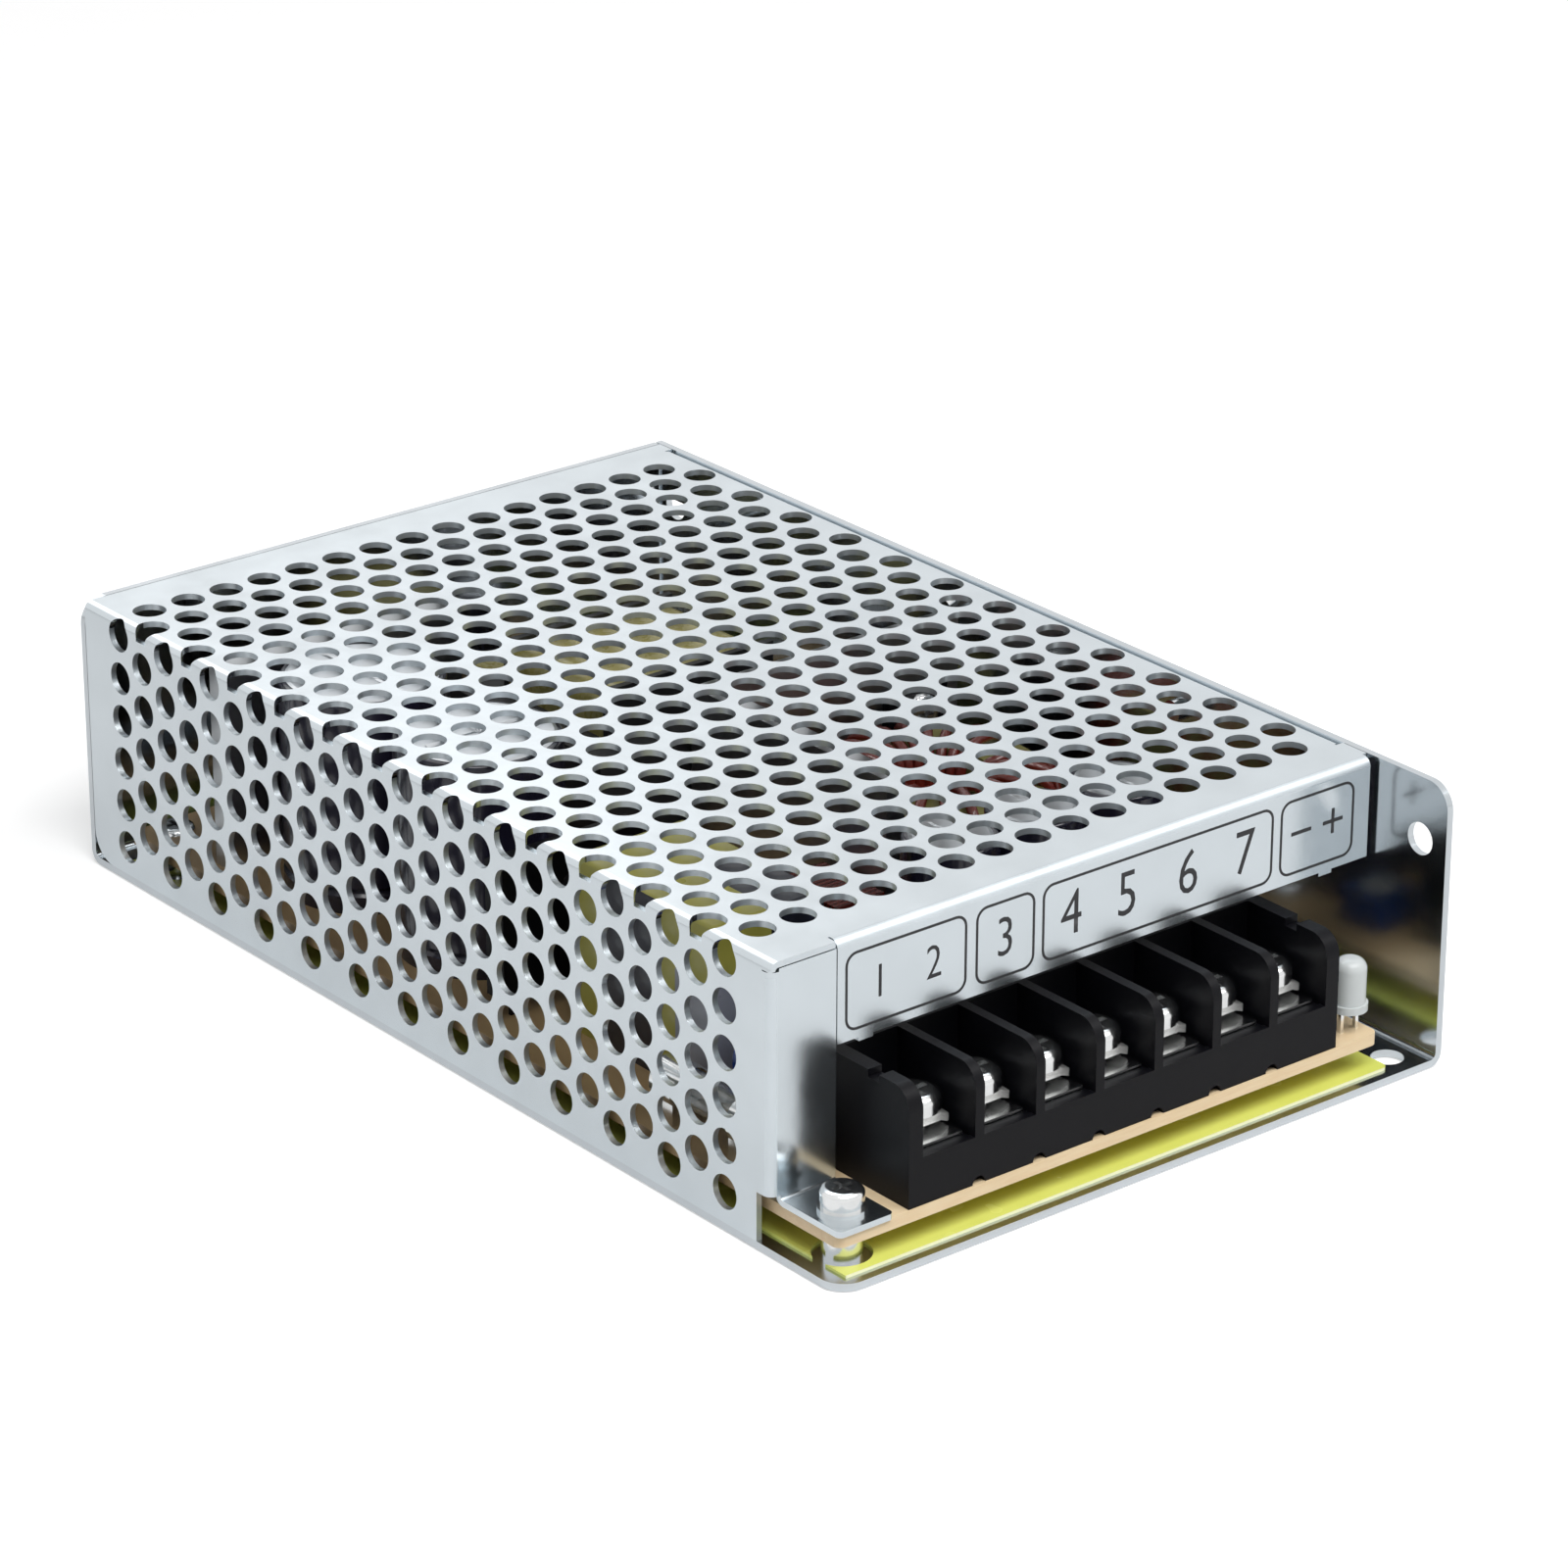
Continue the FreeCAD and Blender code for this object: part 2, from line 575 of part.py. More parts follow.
def make_chassis():
    """One folded sheet: bottom, right wall and rear wall, with a relief where the two folds meet."""
    chassis = body("chassis_body")
    wall_in = RIGHT - s.chassis_sheet
    section = [(LEFT, 0), (RIGHT, 0), (RIGHT, TOP),
               (wall_in, TOP), (wall_in, s.chassis_sheet), (LEFT, s.chassis_sheet)]
    pad(chassis, "bottom_and_wall", "XZ", FRONT, section, s.case_length)
    rear_in = REAR - s.chassis_sheet
    rear_end = wall_in - s.corner_gap
    pad(chassis, "rear_panel", "YZ", LEFT, rectangle(rear_in, REAR, 0, TOP), rear_end - LEFT)
    fold = s.chassis_sheet + s.chassis_bend
    notch(chassis, "corner_relief", "XY", -1,
          rectangle(RIGHT - fold - s.corner_gap, RIGHT + 1, REAR - fold, REAR + 1), fold + s.corner_gap + 1)
    fillet(chassis, "wall_fold_outside", "Y", fold, {"x": RIGHT, "z": 0})
    fillet(chassis, "wall_fold_inside", "Y", s.chassis_bend, {"x": wall_in, "z": s.chassis_sheet})
    fillet(chassis, "rear_fold_outside", "X", fold, {"y": REAR, "z": 0})
    fillet(chassis, "rear_fold_inside", "X", s.chassis_bend, {"y": rear_in, "z": s.chassis_sheet})
    fillet(chassis, "wall_corner", "X", s.chassis_corner, {"y": FRONT, "z": TOP})
    fillet(chassis, "bottom_corner", "Z", s.chassis_corner, {"x": LEFT, "y": FRONT})
    fillet(chassis, "rear_corner", "Y", s.chassis_corner, {"x": LEFT, "z": TOP})
    wall_holes = [(along(s.wall_hole_inset), s.wall_hole_height),
                  (along(s.case_length - s.wall_hole_inset), s.wall_hole_height)]
    drill(chassis, "wall_mount_holes", "YZ", wall_in - 1, wall_holes, s.mount_hole, s.chassis_sheet + 2)
    base_x = across(s.case_width - s.base_hole_side)
    base_holes = [(base_x, along(s.base_hole_inset)), (base_x, along(s.case_length - s.base_hole_rear))]
    drill(chassis, "bottom_mount_holes", "XY", -1, base_holes, s.mount_hole, s.chassis_sheet + 2)
    doc.recompute()
    sinks = [cone(f"cover_screw_sink_{i}", wall_in, y, z,
                  s.small_screw, s.cover_screw_head, s.chassis_sheet, "X")
             for i, (y, z) in enumerate(cover_screw_places())]
    return node(less("chassis_sheet_metal", chassis, sinks), "chassis")


def cover_screw_places():
    """Where the cover screws cross the right wall: Y and Z."""
    return [(along(s.cover_screw_front + s.cover_screw_pitch * i), TOP - s.cover_screw_drop)
            for i in range(3)]


def make_cover():
    """One folded sheet: top, left side, front lip, front flange with its foot, and a fold along the right."""
    cover = body("cover_body")
    sheet_in, bend_out = s.cover_sheet, s.cover_sheet + s.cover_bend
    front = along(s.cover_front)
    rear = REAR - s.chassis_sheet - s.cover_gap
    right = RIGHT - s.chassis_sheet - s.cover_gap
    low = s.chassis_sheet
    inner_x = LEFT + sheet_in
    section = [(LEFT, low), (LEFT, TOP), (right, TOP),
               (right, TOP - sheet_in), (inner_x, TOP - sheet_in), (inner_x, low)]
    pad(cover, "top_and_side", "XZ", front, section, rear - front)

    # The front lip hangs from the top's front edge; the shears left two nibs along its lower edge
    lip_left = across(s.lip_left)
    lip_right = RIGHT - s.chassis_sheet - s.lip_wall_gap
    lip_low = TOP - s.lip_height
    nib_low = lip_low - s.nib_height
    lip = [(lip_left, TOP - sheet_in / 2), (lip_left, lip_low)]
    for place in (s.nib_left_place, s.nib_right_place):
        start, end = across(place - s.nib_width / 2), across(place + s.nib_width / 2)
        lip += [(start, lip_low), (start, nib_low), (end, nib_low), (end, lip_low)]
    lip += [(lip_right, lip_low), (lip_right, TOP - sheet_in / 2)]
    pad(cover, "front_lip", "XZ", front, lip, sheet_in)

    # The left front flange is folded in from the side, and its lower end is folded forward into the foot
    flange_right = lip_left - s.seam_gap
    flange_top = TOP - sheet_in - s.seam_gap
    flange_low = BOARD_TOP + bend_out + s.seam_gap
    shoulder, shoulder_end = TOP - bend_out - s.seam_gap, LEFT + bend_out + s.seam_gap
    foot_left = across(s.foot_left)
    flange = [(LEFT, flange_low), (foot_left, flange_low), (foot_left, BOARD_TOP),
              (flange_right, BOARD_TOP), (flange_right, flange_top), (shoulder_end, flange_top),
              (shoulder_end, shoulder), (LEFT, shoulder)]
    pad(cover, "front_flange", "XZ", front, flange, sheet_in)
    foot = rectangle(foot_left, flange_right, along(s.foot_front), front + sheet_in / 2)
    pad(cover, "foot", "XY", BOARD_TOP, foot, sheet_in)

    # The fold along the right edge takes the cover screws
    return_start, return_end = front + s.return_front, rear - s.return_rear
    pad(cover, "right_return", "YZ", right - sheet_in,
        rectangle(return_start, return_end, TOP - s.return_depth, TOP - sheet_in / 2), sheet_in)

    # Bend reliefs, and the set-back of the side's lower front edge
    reach = front + s.relief_length
    over = sheet_in + 1
    notch(cover, "lip_relief_left", "XY", TOP - sheet_in - s.seam_gap,
          rectangle(lip_left - s.relief_width, lip_left, front - 1, reach), over)
    notch(cover, "lip_relief_right", "XY", TOP - bend_out,
          rectangle(lip_right, right + 1, front - 1, reach), bend_out + 1)
    notch(cover, "side_relief", "YZ", LEFT - 1,
          rectangle(front - 1, reach, shoulder, TOP - bend_out), over)
    for name, start, end in (("return_relief_front", return_start - s.relief_width, return_start),
                             ("return_relief_rear", return_end, return_end + s.relief_width)):
        notch(cover, name, "XY", TOP - bend_out,
              rectangle(right - bend_out, right + 1, start, end), bend_out + 1)
    notch(cover, "side_set_back", "YZ", LEFT - 1,
          rectangle(front - 1, front + s.side_notch_depth, low - 1, flange_low), over)

    # The folds themselves, outside and inside
    top_in, flange_in = TOP - sheet_in, front + sheet_in
    doc.recompute()
    fillet(cover, "side_fold_outside", "Y", bend_out, {"x": LEFT, "z": TOP})
    fillet(cover, "side_fold_inside", "Y", s.cover_bend, {"x": inner_x, "z": top_in})
    middle = (lip_left + lip_right) / 2
    fillet(cover, "lip_fold_outside", "X", bend_out, {"x": middle, "y": front, "z": TOP})
    fillet(cover, "lip_fold_inside", "X", s.cover_bend, {"y": flange_in, "z": top_in})
    return_middle = (return_start + return_end) / 2
    fillet(cover, "return_fold_outside", "Y", bend_out, {"x": right, "y": return_middle, "z": TOP})
    fillet(cover, "return_fold_inside", "Y", s.cover_bend, {"x": right - sheet_in, "z": top_in})
    flange_middle = (flange_low + shoulder) / 2
    fillet(cover, "flange_fold_outside", "Z", bend_out, {"x": LEFT, "y": front, "z": flange_middle})
    fillet(cover, "flange_fold_inside", "Z", s.cover_bend, {"x": inner_x, "y": flange_in})
    foot_middle = (foot_left + flange_right) / 2
    fillet(cover, "foot_fold_outside", "X", bend_out, {"x": foot_middle, "y": flange_in, "z": BOARD_TOP})
    fillet(cover, "foot_fold_inside", "X", s.cover_bend,
           {"x": foot_middle, "y": front, "z": BOARD_TOP + sheet_in})
    fillet(cover, "foot_corners", "Z", s.foot_corner,
           {"x": foot_left, "y": along(s.foot_front)}, {"x": flange_right, "y": along(s.foot_front)})
    fillet(cover, "side_corner", "X", s.side_corner, {"y": rear, "z": low})
    drill(cover, "foot_hole", "XY", BOARD_TOP - 1,
          [(across(s.standoff_x1), along(s.standoff_y1))], s.small_screw_hole, sheet_in + 2)
    drill(cover, "cover_screw_holes", "YZ", right - sheet_in - 1, cover_screw_places(),
          s.small_screw, sheet_in + 2)

    # The mesh is punched in the flat sheet, so its rows run on from the top round the fold and down the side.
    # Every second row is shifted by half a pitch.
    half_pitch = s.hole_pitch / 2
    first_x = LEFT + s.first_hole
    first_z = TOP - (s.hole_pitch - s.first_hole + flat_saving())
    first_y = front + s.first_row
    second_y = first_y + s.row_pitch
    rows = (s.row_count + 1) / 2
    fields = [("top_even_rows", "XY", TOP, first_x, first_y, s.top_holes, rows),
              ("top_odd_rows", "XY", TOP, first_x - half_pitch, second_y, s.top_holes + 1, rows - 1),
              ("side_even_rows", "YZ", LEFT, first_y, first_z, s.side_holes, rows),
              ("side_odd_rows", "YZ", LEFT, second_y, first_z - half_pitch, s.side_holes - 1, rows - 1)]
    punched = [first_mesh_hole(cover, *field[:5]) for field in fields]
    for hole, (name, plane, _, _, _, across_count, row_count) in zip(punched, fields):
        repeat_mesh_hole(cover, name, plane, hole, across_count, row_count)
    return node(cover, "mesh_cover")


def flat_saving():
    """How much shorter the flat sheet is than the two outer faces that meet at the fold."""
    bend_out = s.cover_sheet + s.cover_bend
    neutral = s.cover_bend + s.cover_sheet * 0.4
    return bend_out * 2 - neutral * (math.pi / 2)


def first_mesh_hole(cover, name, plane, level, a, b):
    """Punch one mesh hole, only as deep as the fold beside it allows."""
    start = level - s.fold_hole_reach if plane == "XY" else level - 1
    return drill(cover, name + "_hole", plane, start, [(a, b)], s.hole_diameter, s.fold_hole_reach + 1)


def repeat_mesh_hole(cover, name, plane, hole, across_count, row_count):
    """Repeat a mesh hole along its row, and the row from front to rear."""
    axis = {item.Role[0]: (item, [""]) for item in cover.Origin.OriginFeatures if item.Role.endswith("_Axis")}
    pattern = cover.newObject("PartDesign::LinearPattern", name)
    pattern.Originals = [hole]
    pattern.Refine = False
    pattern.Direction = axis["X" if plane == "XY" else "Z"]
    pattern.Reversed = plane == "YZ"
    pattern.Mode = "Extent"
    bind(pattern, "Occurrences", across_count)
    bind(pattern, "Length", s.hole_pitch * (across_count - 1))
    pattern.Direction2 = axis["Y"]
    pattern.Mode2 = "Extent"
    bind(pattern, "Occurrences2", row_count)
    bind(pattern, "Length2", s.row_pitch * 2 * (row_count - 1))
    cover.Tip = pattern


def make_film():
    film = body("film_body")
    left, right = across(s.film_left), across(s.film_right)
    front, rear = along(s.film_front), along(s.film_rear)
    pad(film, "film_sheet", "XY", s.chassis_sheet, rectangle(left, right, front, rear), s.film_thickness)
    fillet(film, "film_corner_round", "Z", s.film_corner, {"x": right, "y": front})
    drill(film, "film_holes", "XY", s.chassis_sheet - 1, standoff_places(), s.film_hole, s.film_thickness + 2)
    return node(film, "insulating_sheet")


def standoff_places():
    """The foot's standoff first, then the three under the board screws."""
    return [(across(s.standoff_x1), along(s.standoff_y1)), (across(s.standoff_x2), along(s.standoff_y2)),
            (across(s.standoff_x1), along(s.standoff_y3)), (across(s.standoff_x2), along(s.standoff_y3))]


def make_board():
    board = body("board_body")
    left, right = across(s.board_left), across(s.board_right)
    front, rear = along(s.board_front), along(s.board_rear)
    pad(board, "laminate", "XY", BOARD_UNDER, rectangle(left, right, front, rear), s.board_thickness)
    corners = [{"x": x, "y": y} for x in (left, right) for y in (front, rear)]
    fillet(board, "board_corners", "Z", s.board_corner, *corners)
    drill(board, "screw_holes", "XY", BOARD_UNDER - 1, standoff_places(),
          s.small_screw_hole, s.board_thickness + 2)
    return node(board, "circuit_board")


def make_standoffs():
    posts = []
    for i, (x, y) in enumerate(standoff_places()):
        post = rod(f"post_{i}", x, y, s.chassis_sheet, s.standoff_diameter, s.standoff_height)
        bore = rod(f"post_bore_{i}", x, y, s.chassis_sheet, s.small_screw, s.standoff_height)
        posts.append(less(f"standoff_{i}", post, [bore]))
    return node(group("standoffs", posts), "board_standoffs")


def turned(name, profile, round_radius=None, round_height=None, round_at=None):
    """A body turned about its own upright axis; one circular edge can be rounded."""
    owner = body(name)
    feature = owner.newObject("PartDesign::Revolution", name + "_turned")
    sketch = outline(owner, name + "_profile", "XZ", 0, profile)
    feature.Profile = sketch
    feature.ReferenceAxis = (sketch, ["V_Axis"])
    feature.Angle = 360
    doc.recompute()
    if round_radius is None:
        return owner
    edges = [f"Edge{n}" for n, edge in enumerate(feature.Shape.Edges, start=1)
             if edge.Curve.TypeId == "Part::GeomCircle"
             and abs(edge.Curve.Center.z - as_size(round_height).value) < 0.01
             and abs(edge.Curve.Radius - as_size(round_at).value) < 0.01]
    dome = owner.newObject("PartDesign::Fillet", name + "_dome")
    dome.Base = (feature, edges)
    bind(dome, "Radius", round_radius)
    doc.recompute()
    return owner


def pan_screw(name, thread, length, head, head_height, span, arm, depth):
    """A pan head screw, its head's seat at zero and its thread down, with a cross recess."""
    half = head / 2
    shank = thread / 2
    profile = [(0, 0 - length), (shank, 0 - length), (shank, 0),
               (half, 0), (half, head_height), (0, head_height)]
    screw = turned(name, profile, head_height * 0.45, head_height, half)
    a, b = arm / 2, span / 2
    cross = [(0 - b, 0 - a), (0 - a, 0 - a), (0 - a, 0 - b), (a, 0 - b), (a, 0 - a), (b, 0 - a),
             (b, a), (a, a), (a, b), (0 - a, b), (0 - a, a), (0 - b, a)]
    notch(screw, name + "_recess", "XY", head_height - depth, cross, depth + 1)
    return screw


def small_pan_screw(name, length, x, y, z, turn=None):
    screw = pan_screw(name, s.small_screw, length, s.small_head, s.small_head_height,
                      s.recess_span, s.recess_width, s.recess_depth)
    return put(screw, x, y, z, turn)


def make_foot_fixings():
    """Flat washer, spring washer and pan head screw, stacked on the foot."""
    x, y = across(s.standoff_x1), along(s.standoff_y1)
    seat = BOARD_TOP + s.cover_sheet
    disc = rod("flat_washer_disc", x, y, seat, s.flat_washer, s.flat_washer_thickness)
    eye = rod("flat_washer_eye", x, y, seat, s.small_screw_hole, s.flat_washer_thickness)
    node(less("flat_washer_ring", disc, [eye]), "foot_flat_washer")
    seat = seat + s.flat_washer_thickness
    disc = rod("spring_washer_disc", x, y, seat, s.spring_washer, s.spring_washer_thickness)
    eye = rod("spring_washer_eye", x, y, seat, s.small_screw_hole, s.spring_washer_thickness)
    slit = block("spring_washer_cut", x, y - s.spring_washer_slit / 2, seat,
                 s.spring_washer, s.spring_washer_slit, s.spring_washer_thickness)
    node(less("spring_washer_ring", disc, [eye, slit]), "foot_spring_washer")
    seat = seat + s.spring_washer_thickness
    node(small_pan_screw("foot_screw_form", s.foot_screw_length, x, y, seat), "foot_screw")


def make_board_screws():
    screws = [small_pan_screw(f"board_screw_{i}", s.small_screw_length, x, y, BOARD_TOP)
              for i, (x, y) in enumerate(standoff_places()[1:])]
    node(group("board_screw_set", screws), "board_screws")


def make_cover_screws():
    """Flush screws through the right wall into the cover's right fold."""
    screws = []
    wall_in = RIGHT - s.chassis_sheet
    for i, (y, z) in enumerate(cover_screw_places()):
        head = cone(f"flush_head_{i}", wall_in, y, z, s.small_screw, s.cover_screw_head, s.chassis_sheet, "X")
        shank = rod(f"flush_shank_{i}", RIGHT - s.cover_screw_length, y, z, s.small_screw,
                    s.cover_screw_length - s.chassis_sheet, "X")
        slot = block(f"flush_slot_{i}", RIGHT - s.recess_width, y - s.recess_span / 2, z - s.recess_width / 2,
                     s.recess_width, s.recess_span, s.recess_width)
        screws.append(less(f"flush_screw_{i}", joined(f"flush_blank_{i}", [head, shank]), [slot]))
    node(group("flush_screws", screws), "cover_screws")


BLOCK_FRONT = along(s.block_front)
BLOCK_REAR = along(s.block_front + s.block_depth)
BLOCK_LEFT = across(s.block_left)
BLOCK_WIDTH = s.terminal_pitch * s.terminal_count - s.divider + s.end_wall * 2
FLOOR = BOARD_TOP + s.floor_height
CONTACT_TOP = FLOOR + s.contact_sheet
SCREW_Y = BLOCK_FRONT + s.screw_place
FIRST_WAY = BLOCK_LEFT + s.end_wall + (s.terminal_pitch - s.divider) / 2


def make_terminal_housing():
    """A barrier block: sill, floor and rear wall in one section, then the dividers and the metal's pockets."""
    housing = body("housing_body")
    sill = BLOCK_FRONT + s.sill_width
    wall = BLOCK_REAR - s.rear_wall
    sill_top, top = BOARD_TOP + s.sill_height, BOARD_TOP + s.divider_height
    section = [(BLOCK_FRONT, BOARD_TOP), (BLOCK_FRONT, sill_top), (sill, sill_top), (sill, FLOOR),
               (wall, FLOOR), (wall, top), (BLOCK_REAR, top), (BLOCK_REAR, BOARD_TOP)]
    pad(housing, "long_section", "YZ", BLOCK_LEFT, section, BLOCK_WIDTH)

    # Walls between and beside the ways, each with a rounded front top corner
    profile = rectangle(BLOCK_FRONT, BLOCK_REAR, BOARD_TOP, top)
    pad(housing, "left_end", "YZ", BLOCK_LEFT, profile, s.end_wall)
    pad(housing, "right_end", "YZ", BLOCK_LEFT + BLOCK_WIDTH - s.end_wall, profile, s.end_wall)
    first = BLOCK_LEFT + s.end_wall + s.terminal_pitch - s.divider
    wall_pad = pad(housing, "first_divider", "YZ", first, profile, s.divider)
    row_of(housing, "dividers", wall_pad, "X", s.terminal_count - 1, s.terminal_pitch)
    fillet(housing, "divider_corners", "X", s.divider_corner, {"y": BLOCK_FRONT, "z": top})

    # Under each screw a bore for its tip, and behind it a slot for the strap's leg
    bore = s.terminal_screw + s.pocket_gap * 2
    boss = s.boss_diameter + s.pocket_gap * 2
    low = BOARD_TOP + s.bore_floor
    screw_bore = drill(housing, "screw_bore", "XY", low, [(FIRST_WAY, SCREW_Y)], bore, s.floor_height)
    row_of(housing, "screw_bores", screw_bore, "X", s.terminal_count, s.terminal_pitch)
    boss_seat = drill(housing, "boss_seat", "XY", FLOOR - s.boss_height - s.pocket_gap,
                      [(FIRST_WAY, SCREW_Y)], boss, s.floor_height)
    row_of(housing, "boss_seats", boss_seat, "X", s.terminal_count, s.terminal_pitch)
    half = s.contact_width / 2 + s.pocket_gap
    leg_front = BLOCK_FRONT + s.contact_rear - s.contact_sheet - s.pocket_gap
    leg_rear = BLOCK_FRONT + s.contact_rear + s.pocket_gap
    leg = notch(housing, "leg_slot", "XY", BOARD_TOP - 1,
                rectangle(FIRST_WAY - half, FIRST_WAY + half, leg_front, leg_rear), s.floor_height + 2)
    row_of(housing, "leg_slots", leg, "X", s.terminal_count, s.terminal_pitch)

    # Round notches along the foot, and the lid's latch notches in the end walls
    foot = drill(housing, "foot_notch_first", "XZ", BLOCK_FRONT - 1,
                 [(FIRST_WAY + s.terminal_pitch / 2, BOARD_TOP)], s.foot_notch * 2, s.foot_notch + 1)
    row_of(housing, "foot_notches", foot, "X", s.terminal_count - 1, s.terminal_pitch)
    latch = BLOCK_FRONT + s.lid_notch_place
    notch(housing, "lid_notches", "YZ", BLOCK_LEFT - 1,
          rectangle(latch, latch + s.lid_notch_width, top - s.lid_notch_depth, top + 1), s.end_wall + 1)
    notch(housing, "lid_notches_right", "YZ", BLOCK_LEFT + BLOCK_WIDTH - s.end_wall,
          rectangle(latch, latch + s.lid_notch_width, top - s.lid_notch_depth, top + 1), s.end_wall + 1)
    return node(housing, "terminal_block_housing")


def way_places():
    """The middle of each way across the case."""
    return [FIRST_WAY + s.terminal_pitch * i for i in range(int(s.terminal_count.value))]


def make_contacts():
    """Seven straps, each folded down at the rear and drawn into a threaded boss under its screw."""
    front = BLOCK_FRONT + s.contact_front
    rear = BLOCK_FRONT + s.contact_rear
    leg_in = rear - s.contact_sheet
    section = [(front, FLOOR), (leg_in, FLOOR), (leg_in, BOARD_TOP), (rear, BOARD_TOP), (rear, CONTACT_TOP),
               (front, CONTACT_TOP)]
    contacts = []
    for i, x in enumerate(way_places(), start=1):
        strap = body(f"contact_strap_{i}")
        pad(strap, f"strap_{i}", "YZ", x - s.contact_width / 2, section, s.contact_width)
        fillet(strap, f"strap_fold_outside_{i}", "X", s.contact_sheet + s.contact_bend,
               {"y": rear, "z": CONTACT_TOP})
        fillet(strap, f"strap_fold_inside_{i}", "X", s.contact_bend, {"y": leg_in, "z": FLOOR})
        boss = rod(f"boss_{i}", x, SCREW_Y, FLOOR - s.boss_height, s.boss_diameter, s.boss_height)
        bore = rod(f"boss_thread_{i}", x, SCREW_Y, FLOOR - s.boss_height,
                   s.terminal_screw + s.thread_clearance * 2, s.boss_height + s.contact_sheet)
        contacts.append(less(f"contact_{i}", joined(f"contact_blank_{i}", [strap, boss]), [bore]))
    node(group("contact_set", contacts), "terminal_contacts")


def make_clamps_and_screws():
    """A clamp plate with bent wings and a pan head screw in each way, as shipped: turned a little up."""
    seat = CONTACT_TOP + s.clamp_lift
    half = s.clamp_size / 2
    flat = half - s.clamp_wing
    top = seat + s.clamp_thickness
    head_seat = top + s.clamp_drop + s.clamp_float
    for i, x in enumerate(way_places(), start=1):
        plate = body(f"clamp_{i}")
        corners = [{"x": a, "y": b} for a in (x - half, x + half) for b in (SCREW_Y - half, SCREW_Y + half)]
        section = [(x - half, seat), (x - flat, seat + s.clamp_drop),
                   (x + flat, seat + s.clamp_drop), (x + half, seat),
                   (x + half, top), (x + flat, top + s.clamp_drop),
                   (x - flat, top + s.clamp_drop), (x - half, top)]
        pad(plate, f"plate_{i}", "XZ", SCREW_Y - half, section, s.clamp_size)
        fillet(plate, f"plate_corners_{i}", "Z", s.clamp_corner, *corners)
        drill(plate, f"plate_hole_{i}", "XY", seat - 1, [(x, SCREW_Y)], s.clamp_hole,
              s.clamp_thickness + s.clamp_drop + 2)
        node(plate, f"terminal_clamp_{i}")
        screw = pan_screw(f"way_screw_{i}", s.terminal_screw, s.terminal_screw_length, s.terminal_head,
                          s.terminal_head_height, s.terminal_recess, s.terminal_recess_width, s.recess_depth)
        node(put(screw, x, SCREW_Y, head_seat), f"terminal_screw_{i}")


def make_lamp():
    """The status light: a domed lens with a rim, standing on two leads."""
    x, y = across(s.lamp_x), along(s.lamp_y)
    rim, half = s.lamp_rim / 2, s.lamp_diameter / 2
    profile = [(0, 0), (rim, 0), (rim, s.lamp_rim_height), (half, s.lamp_rim_height), (half, s.lamp_height),
               (0, s.lamp_height)]
    lens = turned("lens_form", profile, half * 0.7, s.lamp_height, half)
    node(put(lens, x, y, BOARD_TOP + s.lamp_stand), "light_lens")
    leads = [block(f"lead_{i}", x + s.lead_pitch * side - s.lead_size / 2, y - s.lead_size / 2, BOARD_TOP,
                   s.lead_size, s.lead_size, s.lamp_stand) for i, side in enumerate((-0.5, 0.5))]
    node(group("leads", leads), "light_leads")


def make_trimmer():
    """The voltage trimmer stands under a mesh hole, where a screwdriver reaches its rotor."""
    x = across(s.first_hole - s.hole_pitch / 2 + s.hole_pitch * s.trimmer_hole)
    y = along(s.cover_front + s.first_row + s.row_pitch * s.trimmer_row)
    half = s.trimmer_size / 2
    top = BOARD_TOP + s.trimmer_height
    case = block("trimmer_case", x - half, y - half, BOARD_TOP,
                 s.trimmer_size, s.trimmer_size, s.trimmer_height)
    seat = rod("rotor_seat", x, y, top - s.rotor_depth,
               s.rotor_diameter + s.rotor_clearance * 2, s.rotor_depth)
    node(less("trimmer_case_cut", case, [seat]), "trimmer_body")
    high = s.rotor_depth + s.rotor_rise - s.rotor_clearance
    disc = rod("rotor_disc", x, y, top - s.rotor_depth + s.rotor_clearance, s.rotor_diameter, high)
    slot = block("rotor_slot_cut", x - s.rotor_slot / 2, y - half, top - s.rotor_rise,
                 s.rotor_slot, s.trimmer_size, s.rotor_rise * 2)
    node(less("rotor_form", disc, [slot]), "trimmer_rotor")


def leaded_disc(name, x, y, diameter, thick, lift, pitch, lead):
    """A dipped disc standing on its rim on two leads, its face to the front."""
    x, y = across(x), along(y)
    middle = BOARD_TOP + lift + diameter / 2
    radius = diameter / 2
    face, slope = thick / 2, thick * 0.3
    profile = [(0, 0 - face), (radius - slope, 0 - face), (radius, slope - face), (radius, face - slope),
               (radius - slope, face), (0, face)]
    disc = turned(name + "_dip", profile)
    put(disc, x, y, middle, TURN["Y"])
    leads = [rod(f"{name}_lead_{i}", x + pitch * side, y, BOARD_TOP, lead, lift + radius)
             for i, side in enumerate((-0.5, 0.5))]
    return joined(name + "_whole", [disc] + leads)


def boxed(name, x, y, wide, deep, high, radius):
    """A box standing on the board, rounded along its upright edges and its top."""
    owner = body(name)
    x1, y1 = across(x), along(y)
    x2, y2 = x1 + wide, y1 + deep
    pad(owner, name + "_block", "XY", BOARD_TOP, rectangle(x1, x2, y1, y2), high)
    doc.recompute()
    base = owner.Tip
    top = BOARD_TOP + high
    edges = []
    for n, edge in enumerate(base.Shape.Edges, start=1):
        middle = edge.CenterOfMass
        upright = abs(edge.Curve.Direction.z) > 0.999
        if upright or abs(middle.z - top.value) < 0.01:
            edges.append(f"Edge{n}")
    feature = owner.newObject("PartDesign::Fillet", name + "_rounding")
    feature.Base = (base, edges)
    bind(feature, "Radius", radius)
    return owner


